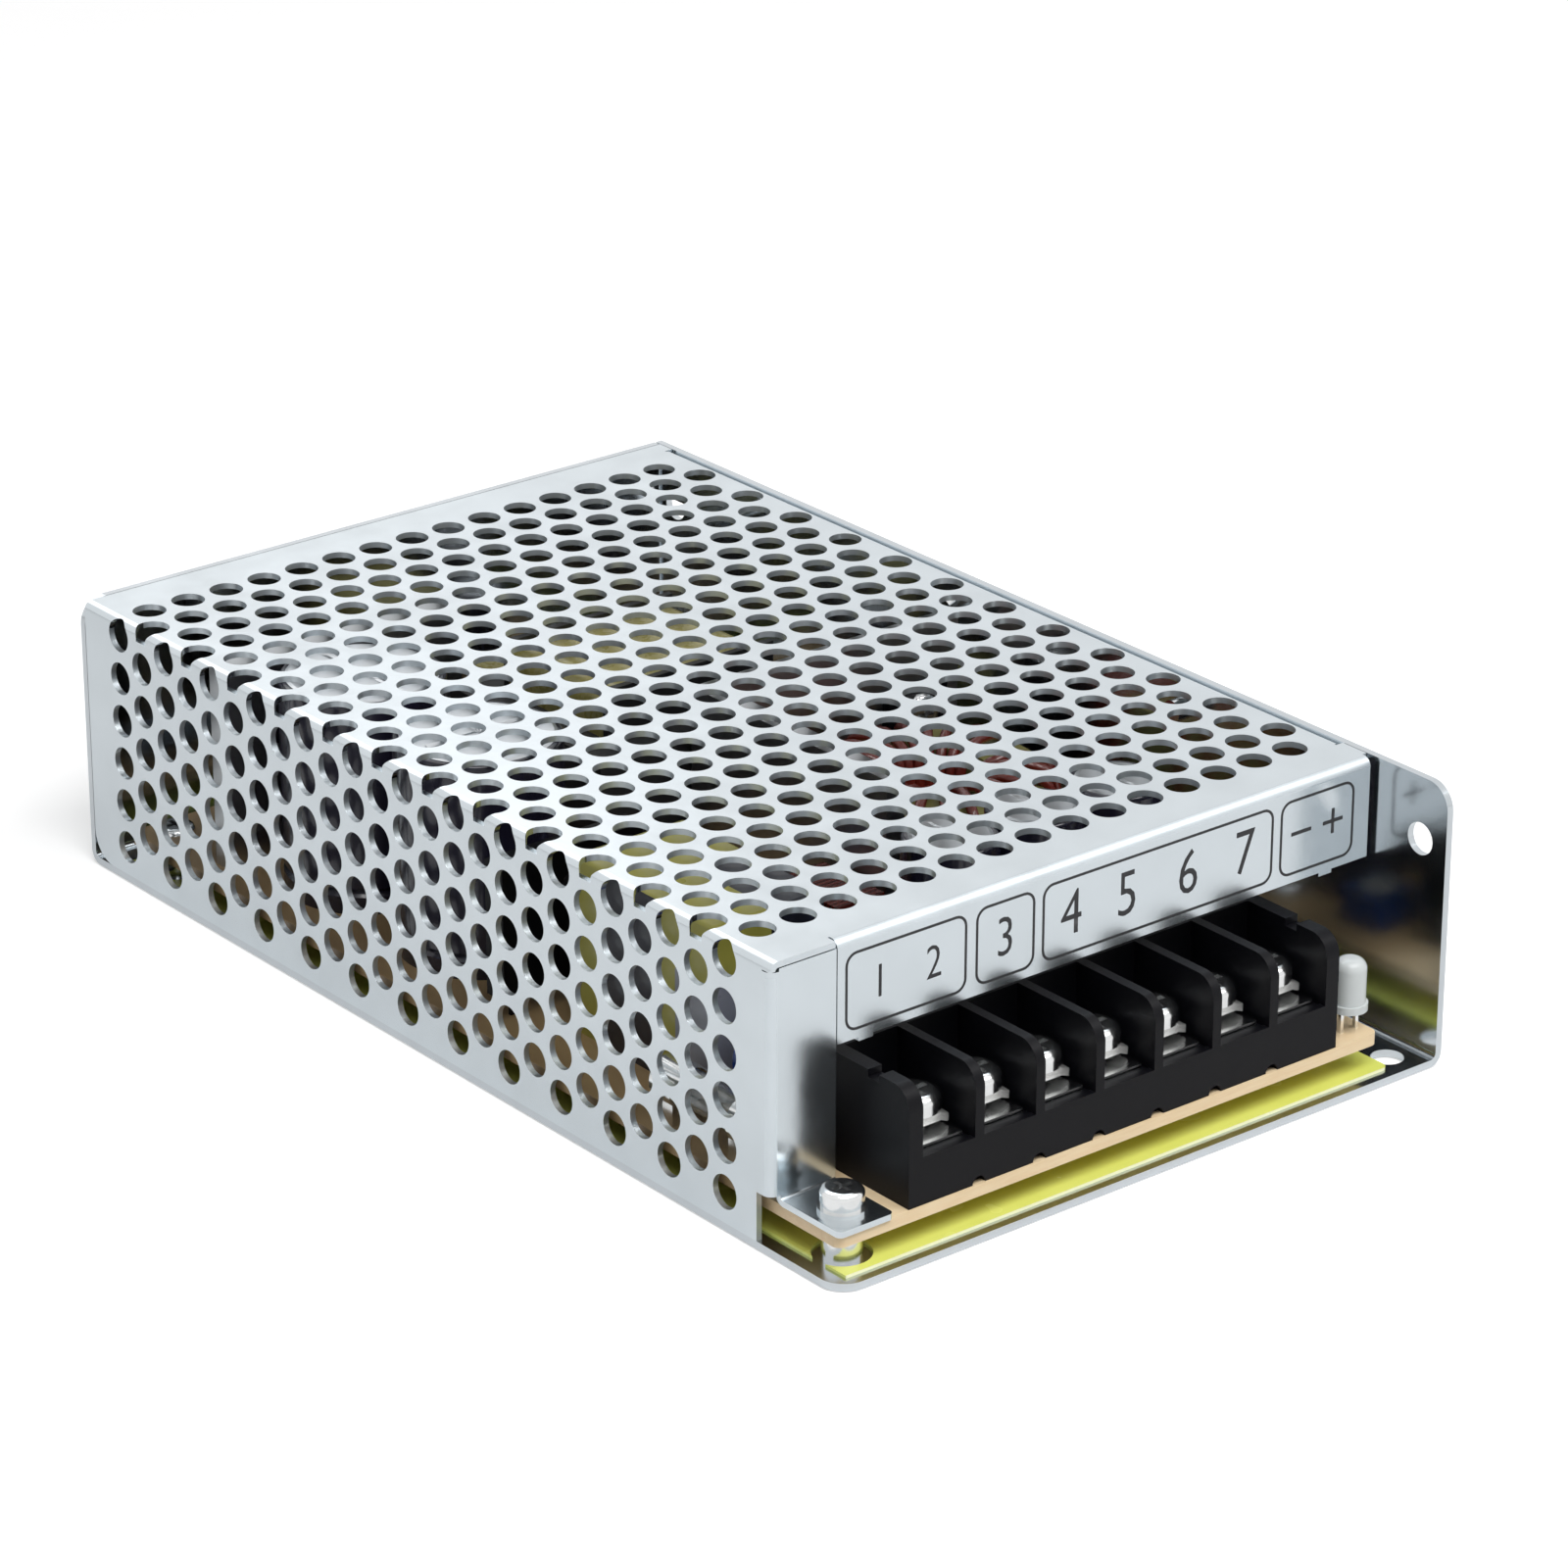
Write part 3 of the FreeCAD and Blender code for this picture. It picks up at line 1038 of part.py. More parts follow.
def can_form(name, x, y, diameter, high):
    """An electrolytic capacitor: crimped near its foot, its sleeve folded over a sunk top."""
    radius = diameter / 2
    crimp = s.can_crimp
    profile = [(0, 0), (radius, 0), (radius, crimp * 2),
               (radius - crimp / 2, crimp * 2.5), (radius, crimp * 3), (radius, high),
               (radius - crimp, high), (radius - crimp, high - crimp / 3), (0, high - crimp / 3)]
    owner = turned(name, profile, crimp / 2, high, radius)
    return put(owner, across(x), along(y), BOARD_TOP)


def make_input_side():
    """Fuse in its clips, inrush and surge discs, and the line filter."""
    x, y, z = across(s.fuse_x), along(s.fuse_y), BOARD_TOP + s.fuse_lift
    end = (s.fuse_cap - s.fuse_tube) / 2
    tube = rod("fuse_tube", x, y + end, z, s.fuse_tube, s.fuse_length - end * 2, "Y")
    tube_bore = rod("fuse_tube_bore", x, y + end, z, s.fuse_tube - 1, s.fuse_length - end * 2, "Y")
    node(less("fuse_glass", tube, [tube_bore]), "input_fuse")
    caps, clips = [], []
    for i, start in enumerate((y, y + s.fuse_length - s.fuse_cap_length)):
        cap = rod(f"fuse_cap_{i}", x, start, z, s.fuse_cap, s.fuse_cap_length, "Y")
        hollow = rod(f"fuse_cap_bore_{i}", x, start + (end if i == 0 else -1), z, s.fuse_tube,
                     s.fuse_cap_length - end + (0 if i == 0 else 1), "Y")
        caps.append(less(f"fuse_cap_cut_{i}", cap, [hollow]))
        wall = s.clip_sheet
        clip_start = start + (s.fuse_cap_length - s.clip_width) / 2
        outer = s.fuse_cap + wall * 2
        ring = rod(f"clip_ring_{i}", x, clip_start, z, outer, s.clip_width, "Y")
        foot = block(f"clip_foot_{i}", x - s.fuse_cap / 2, clip_start, BOARD_TOP,
                     s.fuse_cap, s.clip_width, s.fuse_lift)
        eye = rod(f"clip_eye_{i}", x, clip_start - 1, z, s.fuse_cap, s.clip_width + 2, "Y")
        mouth = block(f"clip_mouth_{i}", x - outer, clip_start - 1, z + s.fuse_cap / 4,
                      outer * 2, s.clip_width + 2, outer)
        clips.append(less(f"clip_{i}", joined(f"clip_blank_{i}", [ring, foot]), [eye, mouth]))
    node(group("fuse_cap_pair", caps), "fuse_caps")
    node(group("clip_pair", clips), "fuse_clips")
    node(leaded_disc("ntc", s.ntc_x, s.ntc_y, s.ntc_diameter,
                     s.disc_thickness, s.disc_lift, s.disc_pitch, s.disc_lead), "thermistor")
    node(leaded_disc("surge", s.surge_x, s.surge_y, s.surge_diameter,
                     s.disc_thickness, s.disc_lift, s.disc_pitch, s.disc_lead), "varistor")
    safety = [leaded_disc(f"safety_{i}", px, py, s.safety_diameter,
                          s.safety_thickness, s.disc_lift, s.disc_pitch, s.disc_lead)
              for i, (px, py) in enumerate(((s.safety_x1, s.safety_y1), (s.safety_x2, s.safety_y2)))]
    node(group("safety_pair", safety), "y_capacitors")
    node(boxed("line_box", s.line_box_x, s.line_box_y, s.line_box_width, s.line_box_depth, s.line_box_height,
               s.box_corner), "x_capacitor")
    node(boxed("grey_box", s.grey_box_x, s.grey_box_y, s.grey_box_width, s.grey_box_depth, s.grey_box_height,
               s.box_corner), "film_capacitor")


def make_line_choke():
    """A ferrite frame that lies flat with one winding on each long limb."""
    x, y, z = across(s.choke_x), along(s.choke_y), BOARD_TOP + s.choke_lift
    frame = block("choke_frame", x, y, z, s.choke_width, s.choke_depth, s.choke_limb)
    window = block("choke_window", x + s.choke_limb, y + s.choke_limb, z - 1,
                   s.choke_width - s.choke_limb * 2, s.choke_depth - s.choke_limb * 2, s.choke_limb + 2)
    node(less("choke_core", frame, [window]), "line_choke_core")
    start = y + s.choke_limb + s.choke_flange
    long = s.choke_depth - s.choke_limb * 2 - s.choke_flange * 2
    coils = []
    over = s.choke_winding
    for i, left in enumerate((x, x + s.choke_width - s.choke_limb)):
        coil = block(f"choke_coil_{i}", left - over, start, z - over, s.choke_limb + over * 2, long,
                     s.choke_limb + over * 2)
        stand = block(f"choke_stand_{i}", left, start, BOARD_TOP, s.choke_limb, long, s.choke_lift)
        limb = block(f"choke_limb_{i}", left, start - 1, z, s.choke_limb, long + 2, s.choke_limb)
        coils.append(less(f"choke_winding_{i}", joined(f"choke_blank_{i}", [coil, stand]), [limb]))
    node(group("choke_windings", coils), "line_choke_windings")


def make_power_parts():
    """Bridge, large capacitors, transformer, output choke and output capacitors."""
    x, y = across(s.bridge_x), along(s.bridge_y)
    z = BOARD_TOP + s.bridge_lift
    case = block("bridge_case", x, y, z, s.bridge_width, s.bridge_depth, s.bridge_height)
    eye = rod("bridge_eye", x + s.bridge_width / 2, y - 1, z + s.bridge_height * 0.72, s.small_screw_hole,
              s.bridge_depth + 2, "Y")
    legs = [block(f"bridge_leg_{i}", x + s.bridge_width * place - s.lead_size,
                  y + s.bridge_depth / 2 - s.lead_size / 2, BOARD_TOP,
                  s.lead_size * 2, s.lead_size, s.bridge_lift + 1)
            for i, place in enumerate((0.12, 0.37, 0.63, 0.88))]
    node(joined("bridge", [less("bridge_case_cut", case, [eye])] + legs), "bridge_rectifier")
    bulk = [can_form(f"bulk_{i}", s.bulk_x, y_place, s.bulk_diameter, s.bulk_height)
            for i, y_place in enumerate((s.bulk_y1, s.bulk_y2))]
    node(group("bulk_pair", bulk), "bulk_capacitors")
    outputs = [can_form(f"output_can_{i}", s.output_x + s.output_pitch * i, s.output_y, s.output_diameter,
                        s.output_height) for i in range(3)]
    node(group("output_row", outputs), "output_capacitors")
    small = [can_form(f"small_can_{i}", px, py, s.small_can_diameter, s.small_can_height)
             for i, (px, py) in enumerate(((s.small_x1, s.small_y1), (s.small_x2, s.small_y2),
                                           (s.small_x3, s.small_y3)))]
    node(group("small_cans", small), "small_capacitors")


def make_transformer():
    """A lying core with its winding on the middle limb, and a bobbin whose cheeks stand on the board."""
    x, y = across(s.core_x), along(s.core_y)
    z = BOARD_TOP + s.core_lift
    limb, high = s.core_limb, s.core_height
    middle = x + s.core_width / 2
    frame = block("core_frame", x, y, z, s.core_width, s.core_depth, high)
    wide = s.core_width / 2 - limb * 2
    window_deep = s.core_depth - limb * 2
    windows = [block(f"core_window_{i}", left, y + limb, z - 1, wide, window_deep, high + 2)
               for i, left in enumerate((x + limb, middle + limb))]
    node(less("core_form", frame, windows), "transformer_core")
    clear = s.bobbin_clearance
    wall = s.bobbin_wall
    tube_x, tube_wide = middle - limb - clear - wall, (limb + clear + wall) * 2
    tube_z, tube_high = z - clear - wall, high + (clear + wall) * 2
    start, long = y + limb + clear, window_deep - clear * 2
    tube = block("bobbin_tube", tube_x, start, tube_z, tube_wide, long, tube_high)
    cheek_x, cheek_wide = x + limb + clear, s.core_width - (limb + clear) * 2
    cheek_high = s.core_lift + high + s.cheek_rise
    cheeks = [block(f"bobbin_cheek_{i}", cheek_x, place, BOARD_TOP, cheek_wide, wall, cheek_high)
              for i, place in enumerate((start, start + long - wall))]
    hollow = block("bobbin_hollow", middle - limb - clear, start - 1, z - clear, (limb + clear) * 2, long + 2,
                   high + clear * 2)
    node(less("bobbin_form", joined("bobbin_blank", [tube] + cheeks), [hollow]), "transformer_bobbin")
    coil = body("coil_body")
    coil_x1, coil_x2 = cheek_x + clear, cheek_x + cheek_wide - clear
    low, top = BOARD_TOP + s.coil_lift, BOARD_TOP + cheek_high - s.coil_step
    coil_front, coil_deep = start + wall, long - wall * 2
    pad(coil, "coil_block", "XZ", coil_front, rectangle(coil_x1, coil_x2, low, top), coil_deep)
    fillet(coil, "coil_corners", "Y", s.coil_corner,
           *[{"x": a, "z": b} for a in (coil_x1, coil_x2) for b in (low, top)])
    notch(coil, "coil_hollow", "XZ", coil_front - 1,
          rectangle(tube_x, tube_x + tube_wide, tube_z, tube_z + tube_high), coil_deep + 2)
    node(coil, "transformer_winding")


def make_output_choke():
    """A ring core wound most of the way round."""
    x, y, z = across(s.ring_x), along(s.ring_y), BOARD_TOP + s.ring_lift
    over = s.ring_wire
    ring = rod("ring_blank", x, y, z + over, s.ring_outside, s.ring_height)
    hole = rod("ring_hole", x, y, z + over, s.ring_inside, s.ring_height)
    node(less("ring_core", ring, [hole]), "output_choke_core")
    coil = rod("ring_coil", x, y, z, s.ring_outside + over * 2, s.ring_height + over * 2)
    coil.Angle = 320
    coil.Placement = Placement(coil.Placement.Base, Rotation(Vector(0, 0, 1), 110))
    eye = rod("ring_coil_eye", x, y, z - 1, s.ring_inside - over * 2, s.ring_height + over * 2 + 2)
    room = rod("ring_room", x, y, z + over, s.ring_outside, s.ring_height)
    room_hole = rod("ring_room_hole", x, y, z + over, s.ring_inside, s.ring_height)
    tails = [rod(f"ring_tail_{i}", x + s.ring_outside / 2 * side, y - s.ring_inside / 2 * 0.2, BOARD_TOP,
                 s.ring_wire, s.ring_lift + s.ring_wire) for i, side in enumerate((-0.8, 0.8))]
    wound = less("ring_wound", coil, [eye, less("ring_space", room, [room_hole])])
    node(joined("ring_winding", [wound] + tails), "output_choke_winding")


def power_package(name, x, back, z, way):
    """A flat power transistor against a plate: tab, case and three legs. Way is the side its case faces."""
    tab_deep, case_deep = s.tab_thickness, s.package_thickness
    half = s.package_width / 2
    tab_y = back if way > 0 else back - tab_deep
    case_y = tab_y + tab_deep if way > 0 else tab_y - (case_deep - tab_deep)
    tab = block(name + "_tab", x - half, tab_y, z + s.package_case, s.package_width, tab_deep, s.package_tab)
    eye = rod(name + "_eye", x, tab_y - 1, z + s.package_case + s.package_tab / 2,
              s.small_screw_hole, tab_deep + 2, "Y")
    back_y = back if way > 0 else back - case_deep
    case = block(name + "_case", x - half, back_y, z, s.package_width, case_deep, s.package_case)
    leg_y = case_y + (case_deep - tab_deep) / 2 - s.lead_size / 2
    legs = [block(f"{name}_leg_{i}", x + s.lead_pitch * i - s.lead_size, leg_y, BOARD_TOP, s.lead_size * 2,
                  s.lead_size, z - BOARD_TOP + 1) for i in (-1, 0, 1)]
    return less(name, joined(name + "_blank", [tab, case] + legs), [eye])


def make_heat_sinks():
    """Two upright plates on the board, each with two power packages held by screws."""
    high = s.sink_height
    sheet_thick = s.sink_sheet
    front, left = along(s.second_sink_y), across(s.second_sink_x)
    across_plate = block("sink_across", left, front, BOARD_TOP, s.second_sink_width, sheet_thick, high)
    along_plate = block("sink_along", left, front - s.second_sink_depth, BOARD_TOP, sheet_thick,
                        s.second_sink_depth + sheet_thick, high)
    eye_z = BOARD_TOP + s.package_lift + s.package_case + s.package_tab / 2
    z = BOARD_TOP + s.package_lift
    length = sheet_thick + s.tab_thickness
    seconds = [across(s.rectifier_x1), across(s.rectifier_x2)]
    eyes = [rod(f"sink_eye_{i}", x, front - 1, eye_z, s.small_screw, sheet_thick + 2, "Y")
            for i, x in enumerate(seconds)]
    node(less("second_sink", joined("second_sink_blank", [across_plate, along_plate]), eyes),
         "secondary_heatsink")
    packages = [power_package(f"rectifier_{i}", x, front, z, -1) for i, x in enumerate(seconds)]
    node(group("rectifiers", packages), "rectifier_packages")
    facing_front = Rotation(Vector(1, 0, 0), 90)
    facing_rear = Rotation(Vector(1, 0, 0), -90)
    screws = [small_pan_screw(f"rectifier_screw_{i}", length, x, front - s.tab_thickness, eye_z, facing_front)
              for i, x in enumerate(seconds)]
    node(group("rectifier_screw_pair", screws), "rectifier_screws")
    front, left = along(s.first_sink_y), across(s.first_sink_x)
    rear = front + sheet_thick
    firsts = [across(s.transistor_x1), across(s.transistor_x2)]
    plate = block("first_sink_plate", left, front, BOARD_TOP, s.first_sink_width, sheet_thick, high)
    eyes = [rod(f"first_eye_{i}", x, front - 1, eye_z, s.small_screw, sheet_thick + 2, "Y")
            for i, x in enumerate(firsts)]
    node(less("first_sink", plate, eyes), "primary_heatsink")
    packages = [power_package(f"transistor_{i}", x, rear, z, 1) for i, x in enumerate(firsts)]
    node(group("transistors", packages), "switching_transistors")
    screws = [small_pan_screw(f"transistor_screw_{i}", length, x, rear + s.tab_thickness, eye_z, facing_rear)
              for i, x in enumerate(firsts)]
    node(group("transistor_screw_pair", screws), "transistor_screws")


def chip(name, x, y, wide, long, pairs):
    """A two row package on its pins; its length runs along Y."""
    x, y = across(x), along(y)
    case = block(name + "_case", x, y, BOARD_TOP + s.pin_lift, wide, long, s.chip_height)
    pins = []
    step = s.lead_pitch
    first = y + long / 2 - step * (pairs - 1) / 2
    for i in range(pairs):
        for j, px in enumerate((x - s.lead_size, x + wide)):
            pins.append(block(f"{name}_pin_{i}_{j}", px, first + step * i - s.lead_size / 2, BOARD_TOP,
                              s.lead_size, s.lead_size, s.pin_lift + s.chip_height / 2))
    return joined(name, [case] + pins)


def make_small_parts():
    """Drive transformer, control chip, optocoupler, resistors and the olive film part."""
    node(boxed("drive_box", s.drive_x, s.drive_y, s.drive_width, s.drive_depth, s.drive_height, s.box_corner),
         "drive_transformer")
    node(chip("control", s.control_x, s.control_y, s.chip_width, s.control_length, 8), "control_chip")
    node(chip("opto", s.opto_x, s.opto_y, s.chip_width, s.opto_length, 2), "optocoupler")
    resistors = []
    for i, (px, py) in enumerate(((s.resistor_x1, s.resistor_y1), (s.resistor_x2, s.resistor_y2))):
        x, y, z = across(px), along(py), BOARD_TOP + s.resistor_lift
        stick = rod(f"resistor_{i}", x, y, z, s.resistor_diameter, s.resistor_length, "X")
        legs = [block(f"resistor_leg_{i}_{j}", place, y - s.lead_size / 2, BOARD_TOP, s.lead_size, s.lead_size,
                      s.resistor_lift + s.lead_size / 2)
                for j, place in enumerate((x - s.lead_size, x + s.resistor_length))]
        resistors.append(joined(f"resistor_whole_{i}", [stick] + legs))
    node(group("resistor_pair", resistors), "power_resistors")
    node(boxed("snubber_box", s.snubber_x, s.snubber_y, s.snubber_width, s.snubber_depth, s.snubber_height,
               s.box_corner), "snubber_capacitor")


make_chassis()
make_cover()
make_film()
make_board()
make_standoffs()
make_foot_fixings()
make_board_screws()
make_cover_screws()
make_terminal_housing()
make_contacts()
make_clamps_and_screws()
make_lamp()
make_trimmer()
make_input_side()
make_line_choke()
make_power_parts()
make_transformer()
make_output_choke()
make_heat_sinks()
make_small_parts()
doc.recompute()

for thing in doc.Objects:
    if "Invalid" in thing.State or "Error" in thing.State:
        raise RuntimeError(f"{thing.Name} failed: {thing.State}")
for label, thing in nodes.items():
    if thing.Shape.isNull() or not thing.Shape.isValid():
        raise RuntimeError(f"{label} has no valid shape")

os.makedirs("parts", exist_ok=True)
for label, thing in nodes.items():
    thing.Shape.exportStep(f"parts/{label}.step")
    print(label, len(thing.Shape.Solids), round(thing.Shape.Volume, 1))
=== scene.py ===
import json
import math

import bmesh
import bpy
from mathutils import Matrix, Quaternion, Vector

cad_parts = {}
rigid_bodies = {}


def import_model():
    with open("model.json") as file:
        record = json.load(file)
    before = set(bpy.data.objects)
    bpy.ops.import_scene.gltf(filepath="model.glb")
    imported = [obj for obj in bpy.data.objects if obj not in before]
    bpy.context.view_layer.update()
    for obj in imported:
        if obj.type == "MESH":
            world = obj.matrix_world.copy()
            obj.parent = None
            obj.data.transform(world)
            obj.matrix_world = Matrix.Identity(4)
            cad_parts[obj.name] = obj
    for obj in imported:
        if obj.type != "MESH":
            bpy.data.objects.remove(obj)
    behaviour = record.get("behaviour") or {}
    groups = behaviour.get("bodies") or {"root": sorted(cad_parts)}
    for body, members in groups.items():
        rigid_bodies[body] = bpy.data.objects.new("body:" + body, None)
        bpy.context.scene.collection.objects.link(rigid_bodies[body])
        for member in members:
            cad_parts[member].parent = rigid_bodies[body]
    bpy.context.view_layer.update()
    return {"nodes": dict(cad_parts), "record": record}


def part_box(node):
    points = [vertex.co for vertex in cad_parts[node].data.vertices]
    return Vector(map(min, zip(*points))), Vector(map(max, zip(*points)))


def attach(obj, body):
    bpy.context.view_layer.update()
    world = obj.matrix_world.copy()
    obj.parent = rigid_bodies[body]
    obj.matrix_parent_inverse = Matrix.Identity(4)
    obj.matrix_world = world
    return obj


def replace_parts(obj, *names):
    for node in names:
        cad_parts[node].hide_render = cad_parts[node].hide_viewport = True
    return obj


# A switching power supply in a folded mesh case. Sizes here are millimetres in the case's own frame:
# X across, Y from the open terminal end to the rear, Z up from the underside. Blender's units are metres.

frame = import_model()
nodes = frame["nodes"]
scene = bpy.context.scene
MM = 0.001

CASE_LOW, CASE_HIGH = (Vector(corner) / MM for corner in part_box("chassis"))
LEFT, FRONT, TOP = CASE_LOW.x, CASE_LOW.y, CASE_HIGH.z


def extent(node):
    """A node's lowest and highest corners, in millimetres."""
    low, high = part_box(node)
    return Vector(low) / MM, Vector(high) / MM


def clear_selection():
    for thing in bpy.context.view_layer.objects:
        thing.select_set(False)
    bpy.context.view_layer.objects.active = None


# Materials

# How far stains, mottling and rolling lines move a surface's roughness
GLOSS_SWING = 0.14
LINE_SWING = 0.05


def shaded(colour, share):
    return tuple(c * share for c in colour)


class Value:
    """A socket in a finish. Arithmetic on it adds Math nodes."""

    def __init__(self, finish, socket):
        self.finish = finish
        self.socket = socket

    def maths(self, operation, *terms):
        """A Math node on terms that are values or numbers."""
        sockets = {str(i): term for i, term in enumerate(terms)}
        return self.finish.node("ShaderNodeMath", {"operation": operation}, **sockets)

    def __add__(self, other):
        return self.maths("ADD", self, other)

    def __radd__(self, other):
        return self.maths("ADD", other, self)

    def __sub__(self, other):
        return self.maths("SUBTRACT", self, other)

    def __mul__(self, other):
        return self.maths("MULTIPLY", self, other)

    def above(self, edge):
        return self.maths("GREATER_THAN", self, edge)

    def below(self, edge):
        return self.maths("LESS_THAN", self, edge)


class Finish:
    """One material, with a Principled shader whose sockets take numbers, colours or values."""

    def __init__(self, name, **sockets):
        self.material = bpy.data.materials.new(name)
        self.material.use_nodes = True
        self.tree = self.material.node_tree
        self.tree.nodes.clear()
        self.shader = self.tree.nodes.new("ShaderNodeBsdfPrincipled")
        output = self.tree.nodes.new("ShaderNodeOutputMaterial")
        self.tree.links.new(self.shader.outputs["BSDF"], output.inputs["Surface"])
        self.set(self.shader, sockets)

    def set(self, node, sockets):
        for name, value in sockets.items():
            socket = node.inputs[int(name)] if name.isdigit() else node.inputs[name.replace("_", " ")]
            if isinstance(value, Value):
                self.tree.links.new(value.socket, socket)
            elif isinstance(value, tuple) and len(value) == 3 and socket.type == "RGBA":
                socket.default_value = (*value, 1)
            else:
                socket.default_value = value

    def node(self, kind, settings=None, output=0, **sockets):
        made = self.tree.nodes.new(kind)
        for name, value in (settings or {}).items():
            setattr(made, name, value)
        self.set(made, sockets)
        return Value(self, made.outputs[output])

    def dress(self, **sockets):
        self.set(self.shader, sockets)

    def place(self):
        return self.node("ShaderNodeTexCoord", output="Object")

    def along_axis(self, axis):
        """The object coordinate along one axis, in metres."""
        return self.node("ShaderNodeSeparateXYZ", output="XYZ".index(axis), Vector=self.place())

    def stretched(self, scale):
        """Object coordinates, stretched by a scale along each axis."""
        return self.node("ShaderNodeMapping", Vector=self.place(), Scale=scale)

    def noise(self, size, detail=2.0, stretch=(1, 1, 1)):
        """Grain whose features are about that many millimetres across."""
        return self.node("ShaderNodeTexNoise", Vector=self.stretched(stretch),
                         Scale=1 / (size * MM), Detail=detail)

    def mix(self, factor, first, second):
        mixer = self.tree.nodes.new("ShaderNodeMix")
        mixer.data_type = "RGBA"
        self.set(mixer, {"0": factor})
        for socket, value in ((mixer.inputs[6], first), (mixer.inputs[7], second)):
            if isinstance(value, Value):
                self.tree.links.new(value.socket, socket)
            else:
                socket.default_value = (*value, 1)
        return Value(self, mixer.outputs[2])

    def bump(self, height, depth, strength=1.0):
        return self.node("ShaderNodeBump", Height=height, Distance=depth * MM, Strength=strength)


def zinc_plate(name, tint, rough):
    """Bright zinc-plated sheet: a soft sheen that wanders a little, with faint stains and rolling lines."""
    finish = Finish(name, Metallic=1.0)
    stain = finish.noise(7.0, detail=3.0)
    peel = finish.noise(1.6, detail=1.0)
    lines = finish.noise(0.5, stretch=(1, 0.05, 1))
    finish.dress(Base_Color=finish.mix(stain, shaded(tint, 0.88), tint))
    finish.dress(Roughness=rough + (stain - 0.5) * GLOSS_SWING + (lines - 0.5) * LINE_SWING)
    finish.dress(Normal=finish.bump(peel, depth=0.010, strength=0.5))
    return finish


def cover_finish():
    """The cover's zinc sheet. The cut walls of its punched holes are duller than the plated faces."""
    tint, rough, cut_rough = (0.665, 0.72, 0.755), 0.19, 0.22
    finish = zinc_plate("zinc sheet of the cover", tint, rough)
    low, high = extent("mesh_cover")
    bend, skin, sheet = 2.0, 0.03, 1.05
    across, along, level = (finish.along_axis(axis) for axis in "XYZ")
    past_bends = across.above((low.x + bend) * MM) * along.above((low.y + bend) * MM)
    in_top = past_bends * level.above((high.z - sheet) * MM)
    in_side = across.below((low.x + sheet) * MM) * level.below((high.z - bend) * MM)
    top_wall = in_top * level.below((high.z - skin) * MM)
    side_wall = in_side * across.above((low.x + skin) * MM)
    stain = finish.noise(7.0, detail=3.0)
    finish.dress(Roughness=rough + (stain - 0.5) * GLOSS_SWING + (top_wall + side_wall) * cut_rough)
    return finish


def plain(name, colour, rough, grain_size=1.2, depth=0.0, mottle=0.10, **extra):
    """A moulded, dipped or painted surface, uneven in colour and gloss, and in level if given a depth."""
    finish = Finish(name, **extra)
    grain = finish.noise(grain_size)
    broad = finish.noise(6.0)
    finish.dress(Base_Color=finish.mix(broad, shaded(colour, 1 - mottle * 2), colour))
    finish.dress(Roughness=rough + (grain - 0.5) * GLOSS_SWING)
    if depth:
        finish.dress(Normal=finish.bump(grain, depth, strength=0.6))
    return finish


def bright_metal(name, tint, rough):
    """Plated or drawn metal of a small part, with fine scratches and duller patches."""
    finish = Finish(name, Metallic=1.0)
    patch = finish.noise(2.0)
    scratch = finish.noise(0.25, stretch=(1, 0.15, 1))
    patch_swing, scratch_swing = 0.10, 0.08
    finish.dress(Base_Color=finish.mix(patch, shaded(tint, 0.85), tint))
    finish.dress(Roughness=rough + (patch - 0.5) * patch_swing + (scratch - 0.5) * scratch_swing)
    return finish


def film_finish():
    """Yellow-green insulating film. Its cut front edge is painted paler than its face, as a painted
    highlight.
    """
    finish = Finish("insulating film", Coat_Weight=0.3, Coat_Roughness=0.15)
    low = extent("insulating_sheet")[0]
    # Painted highlight: a thin pale-yellow strip along the front edge.
    lit_edge_depth = 0.12
    edge = finish.along_axis("Y").below((low.y + lit_edge_depth) * MM)
    cloud = finish.noise(8.0)
    face = finish.mix(cloud, (0.74, 0.80, 0.14), (0.84, 0.90, 0.24))
    finish.dress(Base_Color=finish.mix(edge, face, (0.95, 0.95, 0.60)))
    finish.dress(Roughness=0.20 + cloud * 0.12)
    return finish


def filter_finish():
    """The tall taped box at the left front: yellow tape darkened as painted shade, with a near-black band
    of painted shade on its left side and top, and grey at its low front end.
    """
    finish = Finish("taped box", Coat_Weight=0.2)
    low = extent("x_capacitor")[0]
    shade_band_start, shade_band_end, shade_patch_inset, shade_patch_reach = 11.3, 22.0, 9.0, 15.0
    grey_end_width, grey_end_height = 7.5, 16.0
    skin = 0.1
    across, along, level = (finish.along_axis(axis) for axis in "XYZ")
    side = across.below((low.x + skin) * MM)
    # Painted shade: a near-black band across the left side and a patch on the top, standing in for the dark
    # inside of the case.
    painted_shade_side = side * along.above((low.y + shade_band_start) * MM) * along.below((low.y + shade_band_end) * MM)
    painted_shade_top = across.above((low.x + shade_patch_inset) * MM) * along.below((low.y + shade_patch_reach) * MM)
    # Grey at the low front end, below a set height.
    grey_low_end = along.below((low.y + grey_end_width) * MM) * level.below((low.z + grey_end_height) * MM)
    cloud = finish.noise(6.0)
    # The tape's yellow is darkened too, as painted shade for the inside of the case.
    tape = finish.mix(cloud, (0.37, 0.34, 0.064), (0.46, 0.43, 0.08))
    tape_with_painted_shade = finish.mix(painted_shade_side + painted_shade_top, tape, (0.010, 0.011, 0.022))
    finish.dress(Base_Color=finish.mix(grey_low_end, tape_with_painted_shade, (0.30, 0.31, 0.36)))
    finish.dress(Roughness=0.3 + (cloud - 0.5) * GLOSS_SWING)
    return finish


